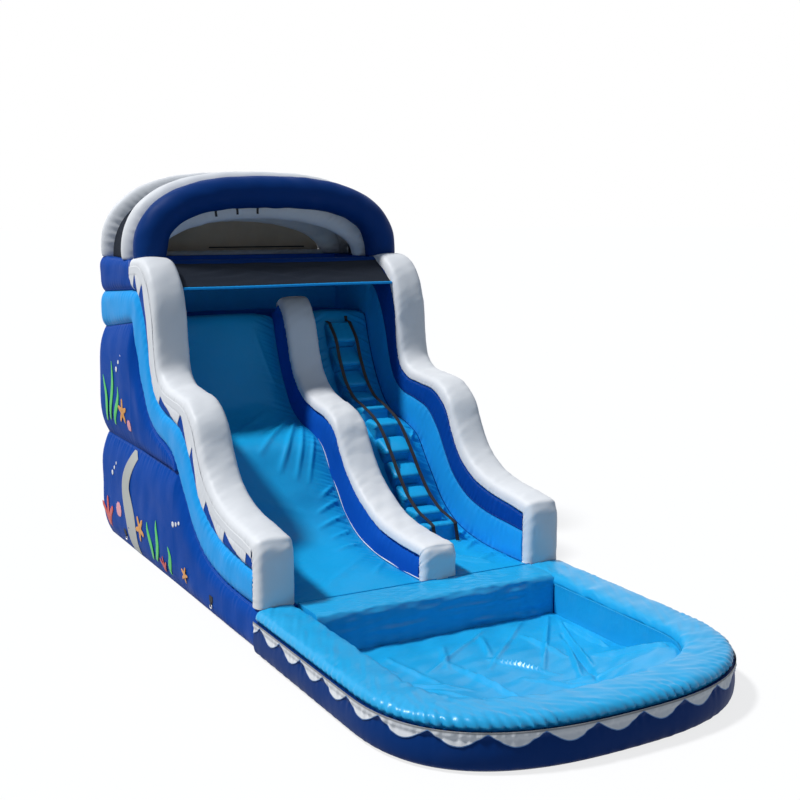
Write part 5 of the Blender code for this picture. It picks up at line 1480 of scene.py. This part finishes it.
top_roll = 0.005 * swells(x[:, None], section[None, :, 0], 323, 0.35) - 0.003
top_roll = top_roll + 0.005 * swells(x[:, None] + section[None, :, 0], 2 * section[None, :, 0], 324, 0.13)
calm = np.clip((half - np.abs(x[:, None])) / 0.05, 0, 1)
forward = np.minimum(front_part * (level - 0.004), 0.010) * calm * (1 - on_top) * np.clip(height / 0.04, 0, 1)
grid = spread(x[:, None], section[None, :, 0] - forward, height + on_top * top_roll * calm)
away = np.broadcast_to(np.minimum(run_down, 0.3), forward.shape)
seam = spread(x[:, None] + 2, away)
dress(shell("foot_apron", grid, seam, CYAN), "cyan_vinyl", "pool_apron", fill=0.6)

LINER_FOLDS = [((0.03, -1.30), (0.40, -1.92), 0.030, 0.034), ((-0.36, -1.22), (-0.24, -2.45), 0.034, 0.030),
               ((1.10, -1.05), (0.55, -2.35), 0.028, -0.030), ((1.05, -1.15), (0.50, -2.15), 0.026, 0.030),
               ((0.98, -1.75), (1.26, -2.42), 0.034, 0.042), ((0.70, -0.90), (0.72, -1.62), 0.030, 0.028),
               ((-1.20, -1.30), (-0.55, -1.85), 0.040, 0.022), ((-0.85, -0.80), (-0.70, -1.70), 0.036, 0.018),
               ((-1.05, -2.35), (-0.35, -2.20), 0.040, 0.020), ((0.30, -0.75), (0.10, -1.20), 0.034, 0.022),
               ((1.30, -0.80), (1.25, -1.60), 0.028, 0.034), ((0.35, -2.10), (0.95, -2.35), 0.030, 0.018),
               ((-0.20, -0.80), (-0.45, -1.30), 0.036, 0.018), ((-1.25, -0.90), (-0.95, -1.15), 0.030, 0.020),
               ((1.27, -0.58), (0.35, -1.75), 0.024, 0.024), ((1.30, -0.72), (0.78, -1.95), 0.022, 0.022),
               ((0.95, -0.55), (-0.10, -1.50), 0.024, 0.018), ((0.50, -0.55), (-0.65, -1.30), 0.026, 0.016),
               ((-0.95, -1.65), (-0.62, -2.35), 0.028, 0.020), ((0.05, -1.85), (0.55, -2.50), 0.026, 0.022)]
lined = -RIM_PATH[:, 1] > 0.468
z = np.concatenate([np.linspace(0.02, COVER_LOW, 22), COVER_LOW + np.array([0.012, 0.024, 0.036])])
tuck = RIM_WIDTH + 0.0030 + 0.0018 * np.clip((z - COVER_LOW) / 0.02, 0, 1)
flat = RIM_PATH[lined][:, None] + tuck[None, :, None] * INWARD[lined][:, None]
grid = np.concatenate([flat, np.broadcast_to(z[:, None], (*flat.shape[:2], 1))], axis=2)
seam = spread(RIM_RUN[lined][:, None], 0.4 - z[None, :])
lining = sheet_grid("rim_lining", grid, seam, CYAN, 0.0014, 0)
dress(lining, "cyan_vinyl")
LINER_EDGE, LINER_FLOOR = 0.0065, 0.05
FOLD_RISE, FOLD_WIDTH = 1.5, 0.8
y = np.linspace(-APRON_DEPTH - GAP, -POOL_LENGTH + RIM_WIDTH + LINER_EDGE, 170)[:, None]
inner_edge = RIM_PATH + (RIM_WIDTH + LINER_EDGE) * INWARD
left_half = inner_edge[:len(inner_edge) // 2]
reach_x = np.interp(-y, -left_half[:, 1], -left_half[:, 0])
reach_x = np.minimum(reach_x, INNER_X - LINER_EDGE)
a = np.sin(np.linspace(-math.pi / 2, math.pi / 2, 190))[None, :]
x = reach_x * a
ahead_share = np.clip((-y - POOL_STRAIGHT) / (POOL_LENGTH - POOL_STRAIGHT - RIM_WIDTH), 0, None)
level = (np.abs(x / INNER_X) ** POOL_POWER + ahead_share ** POOL_POWER) ** (1 / POOL_POWER)
rise = np.clip((level - 0.25) / 0.75, 0, 1)
near = np.clip((-y - POOL_STRAIGHT + 0.45) / 0.90, 0, 1)
blend = rise ** 2 * (3 - 2 * rise) * near ** 2 * (3 - 2 * near)
surface = LINER_FLOOR + (COVER_LOW - LINER_FLOOR) * blend
loose = 0.012 * swells(x, y, 330, 0.7) + 0.006 * swells(x, y, 331, 0.25)
for start, end, width, height in LINER_FOLDS:
    loose = loose + FOLD_RISE * ridge(x, y, start, end, FOLD_WIDTH * width, height)
calm = np.clip((reach_x - np.abs(x)) / 0.06, 0, 1) * np.clip((-y - 0.46) / 0.05, 0, 1)
calm = calm * np.clip((y + POOL_LENGTH - RIM_WIDTH) / 0.05, 0, 1)
surface = np.clip(surface + loose * calm, 0.012, None)
top = spread(x, y, surface)
right_low = np.stack([reach_x, y, 0 * y], axis=2)
left_low = right_low * (-1, 1, 1)
rings = np.concatenate([top, right_low, left_low], axis=1)
away = np.concatenate([np.broadcast_to(0.3, x.shape), np.full((len(y), 2), 0.3)], axis=1)
seam = spread(-y, away)
dress(shell("loose_liner", rings, seam, CYAN, 70), "cyan_vinyl", "pool_liner", fill=0.3)
print("pool done")

# %% [markdown]
# ## Anchor tabs
#
# A webbing tab is sewn low on each flank, front and rear. It lies on the panel, and its lower end is
# folded round the bar of a D ring. The fold turns about the bar, whose place the frame's ring gives.

# %% Anchor tabs
PIN_Z, FOLD_RADIUS, HALF_WEBBING = 0.15, 0.0079, 0.0018
for side, sign in (("left", -1), ("right", 1)):
    for place, at_y in (("front", 1.25), ("rear", 4.30)):
        ring_low, ring_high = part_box(f"{side}_{place}_anchor_ring")
        pin_x = sign * (ring_low.x + ring_high.x) / 2
        z = np.linspace(0.25, 0.168, 12)
        skin = flank_point(np.full(12, at_y), z, 0.0)[:, 0] + 0.0030
        down_line = np.column_stack([skin, z])
        round_bar = np.linspace(math.radians(205), math.radians(480), 22)
        fold = np.column_stack([pin_x + FOLD_RADIUS * np.cos(round_bar),
                                PIN_Z + FOLD_RADIUS * np.sin(round_bar)])
        back = np.linspace(fold[-1], (skin[-3] + 0.0042, 0.176), 4)[1:]
        line = np.vstack([down_line, fold, back])
        ahead = unit(np.gradient(line, axis=0))
        aside = np.column_stack([-ahead[:, 1], ahead[:, 0]]) * HALF_WEBBING
        width = np.interp(np.arange(len(line)), [0, 8, 13, len(line)], [0.050, 0.050, 0.016, 0.016])
        w = np.linspace(-1, 1, 9)
        rings = []
        for offset, order in ((aside, w), (-aside, w[::-1])):
            flat = line + offset
            rings.append(spread(sign * flat[:, :1], at_y + width[:, None] * order[None, :], flat[:, 1:]))
        rings = np.concatenate(rings, axis=1)
        across = np.concatenate([w, w[::-1]])[None, :] * width[:, None]
        seam = spread(lengths(line)[:, None], across)
        made = shell(f"{side}_{place}_tab", rings, seam, WEBBING, 40)
        dress(made, "black_webbing", f"{side}_{place}_anchor_tab")

# %% [markdown]
# ## Blower sleeve and zip
#
# Low on the rear a fabric sleeve takes the nozzle of a blower, and a strap ties it tight. Beside it a
# zip lets the air out. The sleeve is limp, so its wall is rumpled, most where the strap pulls it in. The
# zip is a tape with two rows of small teeth.

# %% Sleeve and zip
HUB_X, HUB_Z, SLEEVE_RADIUS, SLEEVE_WALL, SLEEVE_END = 0.80, 0.1548, 0.15, 0.005, 5.758
STRAP_Y, STRAP_HALF_WIDTH, STRAP_OUTSIDE, STRAP_INSIDE = 5.6192, 0.0145, 0.1540, 0.1503
turn = np.linspace(0, 2 * math.pi, 72, endpoint=False)[None, :]
round_it = turn * SLEEVE_RADIUS
out_y = np.linspace(BODY_LENGTH - 0.085, SLEEVE_END, 60)
rumple = 0.006 * swells(round_it, out_y[:, None], 340, 0.12) - 0.007
fade = np.clip(np.abs(out_y - 5.62) / 0.06, 0, 1)[:, None]
tied = 0.004 * (1 - fade) * (1 + pleats(round_it, 341, 0.05)) * 0.5
outside = SLEEVE_RADIUS - 0.001 + rumple * fade - tied
r = np.concatenate([outside, outside[::-1] - SLEEVE_WALL])
lip_y = np.concatenate([out_y, out_y[::-1]])[:, None]
rings = spread(HUB_X + r * np.cos(turn), lip_y, HUB_Z + r * np.sin(turn))
seam = spread(round_it, np.abs(lip_y - SLEEVE_END))
dress(shell("blower_sleeve", rings, seam, NAVY, loop=True), "navy_vinyl", "inflation_sleeve")

w = np.linspace(-1, 1, 8) * STRAP_HALF_WIDTH
strap_r = np.repeat([STRAP_OUTSIDE, STRAP_INSIDE], len(w))[:, None]
strap_y = STRAP_Y + np.concatenate([w, w[::-1]])[:, None]
rings = spread(HUB_X + strap_r * np.cos(turn), strap_y, HUB_Z + strap_r * np.sin(turn))
seam = spread(round_it, strap_y - 5.6)
dress(shell("sleeve_strap", rings, seam, WEBBING, 40, loop=True), "black_webbing", "sleeve_tie")

TAPE_THICKNESS, TOOTH_COUNT, TOOTH_PITCH = 0.0026, 144, 0.004
tape_x = np.linspace(ZIP_X - ZIP_HALF, ZIP_X + ZIP_HALF, 60)
face_y = float(rear_swell(ZIP_Z / (PANEL_SEAM - GAP), PANEL_SEAM))
w = np.linspace(-1, 1, 9)
lie = 0.0004 + 0.0006 * pleats(tape_x, 350, 0.05)[:, None] ** 2 * w[None, :] ** 2
face = face_y + GAP + lie
front = spread(tape_x[:, None], face + TAPE_THICKNESS, ZIP_Z + TAPE_HALF * w[None, :])
back = spread(tape_x[:, None], face_y + GAP, ZIP_Z + TAPE_HALF * w[None, ::-1])
rings = np.concatenate([front, back], axis=1)
across = np.concatenate([w, w[::-1]]) * TAPE_HALF
seam = spread(tape_x[:, None], across[None, :])
tape = shell("zip_tape_cloth", rings, seam, WEBBING, 40)
dress(tape, "black_webbing", "zip_tape")
tooth_x = ZIP_X + (np.arange(TOOTH_COUNT) - TOOTH_COUNT / 2) * TOOTH_PITCH
box = np.array([(x, y, z) for x in (-0.0013, 0.0013) for y in (0.0, 0.0046) for z in (-0.0034, 0.0006)])
sides_of_box = np.array([(0, 1, 3, 2), (4, 6, 7, 5), (0, 4, 5, 1), (2, 3, 7, 6), (0, 2, 6, 4), (1, 5, 7, 3)])
flip = np.where(np.arange(TOOTH_COUNT) % 2, 1.0, -1.0)
centre = np.column_stack([tooth_x, np.full(TOOTH_COUNT, face_y + 0.0034), ZIP_Z + flip * 0.0014])
points = (centre[:, None] + box[None]).reshape(-1, 3)
faces = (np.arange(TOOTH_COUNT)[:, None, None] * 8 + sides_of_box[None]).reshape(-1, 4)
teeth = mesh_object("zip_teeth", points, [faces], np.zeros((len(points), 2)) + 0.3, STEEL)
dress(teeth, "plated_steel")
print("fittings done")

# %% [markdown]
# ## Fabric pictures
#
# The flanks carry cut fabric shapes of a sea bed: weed, starfish, shells, coral, bubbles and a ribbon
# of sand. A shape is a small grid in the flank's plane, either a disc whose radius changes with the
# turn, or a ribbon of changing width along a path. Each is then laid on the panel's bulge, so it curves
# with the cloth, with a thin lift.


# %% Fabric picture helpers
def plain_fabric(name, colour):
    """Cut fabric of one dye, with the same wear as the rest."""
    return vinyl(name, colour, 0.42, specular=0.3, dust=0.06, gathers=0.0, stitched=0.0, creases=0.6)


PICTURE = {"green": plain_fabric("weed_green", (0.060, 0.560, 0.110)),
           "orange": plain_fabric("starfish_orange", (0.700, 0.300, 0.055)),
           "red": plain_fabric("coral_red", (0.600, 0.050, 0.040)),
           "pink": plain_fabric("shell_pink", (0.760, 0.300, 0.340)),
           "white": plain_fabric("bubble_white", (0.780, 0.800, 0.820)),
           "sand": plain_fabric("sand_grey", (0.420, 0.430, 0.400))}


def disc(centre, size, turn_radius, rings=7, sides=72):
    """A flat shape round a centre: at each turn its edge is size times turn_radius(turn)."""
    turn = np.linspace(0, 2 * math.pi, sides)
    r = np.linspace(0.002, 1, rings)[:, None] * size * turn_radius(turn)[None, :]
    return np.stack([centre[0] + r * np.cos(turn), centre[1] + r * np.sin(turn)], axis=2)


def ribbon(keys, width, count=60, across=7):
    """A flat strip along a smooth path, with its half width given along it by width(share)."""
    keys = np.asarray(keys, float)
    path = catmull(keys, np.linspace(0, len(keys) - 1, count))
    ahead = unit(np.gradient(path, axis=0))
    side = np.column_stack([-ahead[:, 1], ahead[:, 0]])
    half = width(np.linspace(0, 1, count))[:, None, None]
    return path[:, None] + np.linspace(-1, 1, across)[None, :, None] * half * side[:, None]


def lay_on_flank(name, sign, colour, shapes, lift=0.004):
    """Joins flat shapes of one colour, lays them on the flank's bulge and makes them one thin piece."""
    points, faces, start = [], [], 0
    for shape in shapes:
        flat = shape.reshape(-1, 2)
        points.append(flank_point(flat[:, 0], flat[:, 1], lift) * (sign, 1, 1))
        faces.append(quads(shape.shape[0], shape.shape[1], False) + start)
        start += len(flat)
    points = np.concatenate(points)
    faces = np.concatenate(faces)
    seam = np.column_stack([points[:, 1], np.full(len(points), 0.3)])
    made = mesh_object(name, points, [faces], seam, PICTURE[colour])
    thicken(made, 0.002, 0)
    return dress(made, None)


def weed(y, z, height, lean):
    """A blade of weed: a wavy ribbon, widest in its middle and pointed at its tip."""
    t = np.linspace(0, 1, 6)
    keys = np.column_stack([y + lean * t + 0.05 * np.sin(5 * t + y * 3), z + height * t])
    return ribbon(keys, lambda f: 0.050 * np.sin(math.pi * (0.12 + 0.86 * f)) ** 0.8)


def starfish(y, z, size, turn=0.3):
    """Five blunt arms: the radius swings with five times the turn."""
    def arms(t):
        return 0.60 + 0.40 * np.cos(5 * (t - turn)) * np.abs(np.cos(2.5 * (t - turn))) ** 0.3

    return disc((y, z), size, arms)


def scallop_shell(y, z, size):
    """A fan: a round top with ribs and a narrow hinge below."""
    return disc((y, z), size, lambda t: (0.62 + 0.38 * np.sin(t)) * (1 + 0.05 * np.cos(14 * t)))


def branch(y, z, size):
    """Three blunt fingers of coral."""
    return [ribbon([(y, z), (y + a * 0.3 * size, z + 0.4 * size), (y + a * size * 0.8, z + b * size)],
                   lambda f: 0.14 * size * (1.15 - 0.45 * f) * np.clip((1 - f) * 9, 0, 1) ** 0.5, 30, 5)
            for a, b in ((-0.8, 0.8), (0.0, 1.1), (0.9, 0.75))]


# %% Fabric pictures
for side, sign in (("left", -1), ("right", 1)):
    greens = [weed(4.72, 1.62, 0.78, -0.10), weed(4.90, 1.58, 0.60, 0.08), weed(4.55, 1.58, 0.52, -0.16),
              weed(3.05, 0.16, 0.52, -0.12), weed(3.22, 0.14, 0.44, 0.06), weed(2.52, 0.12, 0.34, 0.05)]
    lay_on_flank(side + "_weed_shapes", sign, "green", greens)
    stars = [starfish(4.22, 1.80, 0.17), starfish(3.62, 0.42, 0.17, 1.0), starfish(2.05, 0.26, 0.10, 0.6)]
    lay_on_flank(side + "_star_shapes", sign, "orange", stars)
    lay_on_flank(side + "_coral_shapes", sign, "red", branch(4.98, 0.16, 0.36) + branch(2.80, 0.10, 0.17))
    shells = [scallop_shell(4.48, 0.42, 0.15), scallop_shell(3.98, 1.62, 0.11)]
    lay_on_flank(side + "_shell_shapes", sign, "pink", shells)
    bubbles = [(4.42, 2.32, 0.035), (4.34, 2.42, 0.026), (4.27, 2.52, 0.020), (2.36, 0.78, 0.034),
               (2.27, 0.80, 0.026), (2.19, 0.83, 0.022), (4.72, 0.92, 0.035), (4.64, 1.00, 0.026),
               (4.57, 1.07, 0.020)]
    lay_on_flank(side + "_bubble_shapes", sign, "white",
                 [disc((y, z), r, lambda t: np.ones_like(t), 4, 32) for y, z, r in bubbles])
    sand = ribbon([(3.94, 0.02), (3.99, 0.42), (4.16, 0.86), (3.86, 1.33)],
                  lambda f: 0.15 + 0.04 * np.sin(5 * f), 150, 33)
    sand[..., 1] = np.clip(sand[..., 1], 0.03, 1.35)
    lay_on_flank(side + "_sand_ribbon", sign, "sand", [sand])
print("fabric pictures done")

# %% [markdown]
# ## Scene light and floor
#
# A wide soft lamp stands high behind the slide's left side, where the sun of an open field would be, and
# an even sky fills the shadows. The camera, reflections and clear materials see white all round, so the
# vinyl mirrors the same plain studio that the picture shows. The floor stays nearly white to them too,
# but still takes the slide's shadow.


# %% Light, sky and floor
FLOOR_Z = -0.002


def add_sun(direction, strength, width):
    """A lamp that shines from a direction, as wide on the sky as the angle says."""
    lamp = bpy.data.lights.new("high_lamp", "SUN")
    lamp.energy = strength
    lamp.angle = math.radians(width)
    holder = bpy.data.objects.new("high_lamp", lamp)
    holder.rotation_mode = "QUATERNION"
    holder.rotation_quaternion = Vector(direction).to_track_quat("Z", "Y")
    scene.collection.objects.link(holder)


def sees_background(tree):
    """One for camera, mirror and transmission rays, and zero for the light that falls on the slide."""
    rays = node(tree, "ShaderNodeLightPath").outputs
    mirrored = maths(tree, "MAXIMUM", rays["Is Glossy Ray"], rays["Is Transmission Ray"])
    return maths(tree, "MAXIMUM", rays["Is Camera Ray"], mirrored)


def open_sky(fill, tint):
    """White where the background is seen, and an even soft fill of a tint for everything else."""
    world = bpy.data.worlds.new("open_sky")
    world.use_nodes = True
    tree = world.node_tree
    seen = sees_background(tree)
    strength = node(tree, "ShaderNodeMapRange", {0: seen, 3: fill, 4: 1.0}).outputs[0]
    background = tree.nodes["Background"]
    tree.links.new(blend_colours(tree, seen, (*tint, 1.0), (1, 1, 1, 1)), background.inputs[0])
    tree.links.new(strength, background.inputs[1])
    scene.world = world


def pale_floor(size, glow):
    """A flat matt floor, with a part of its white given as glow wherever it is seen as background."""
    made = bpy.data.materials.new("pale_floor")
    made.use_nodes = True
    tree = made.node_tree
    seen = sees_background(tree)
    matt = node(tree, "ShaderNodeBsdfDiffuse",
                {0: blend_colours(tree, seen, (0.40, 0.41, 0.42, 1.0), (0.98 - glow,) * 3 + (1.0,))})
    shine = node(tree, "ShaderNodeEmission", {0: (1, 1, 1, 1), 1: maths(tree, "MULTIPLY", seen, glow)})
    both = node(tree, "ShaderNodeAddShader", {0: matt.outputs[0], 1: shine.outputs[0]})
    tree.links.new(both.outputs[0], tree.nodes["Material Output"].inputs[0])
    tree.nodes.remove(tree.nodes["Principled BSDF"])
    mesh = bpy.data.meshes.new("floor")
    corners = [(size * x, size * y, FLOOR_Z) for x, y in ((-1, -1), (1, -1), (1, 1), (-1, 1))]
    mesh.from_pydata(corners, [], [(0, 1, 2, 3)])
    mesh.materials.append(made)
    floor = bpy.data.objects.new("floor", mesh)
    scene.collection.objects.link(floor)
    floor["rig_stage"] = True


add_sun((-0.60, 0.20, 1.0), 3.5, 8)
open_sky(0.22, (0.62, 0.82, 1.12))
pale_floor(160.0, 0.80)

# %% Measure and finish
low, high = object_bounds()
print("box of the dressed slide:", list(low), list(high))
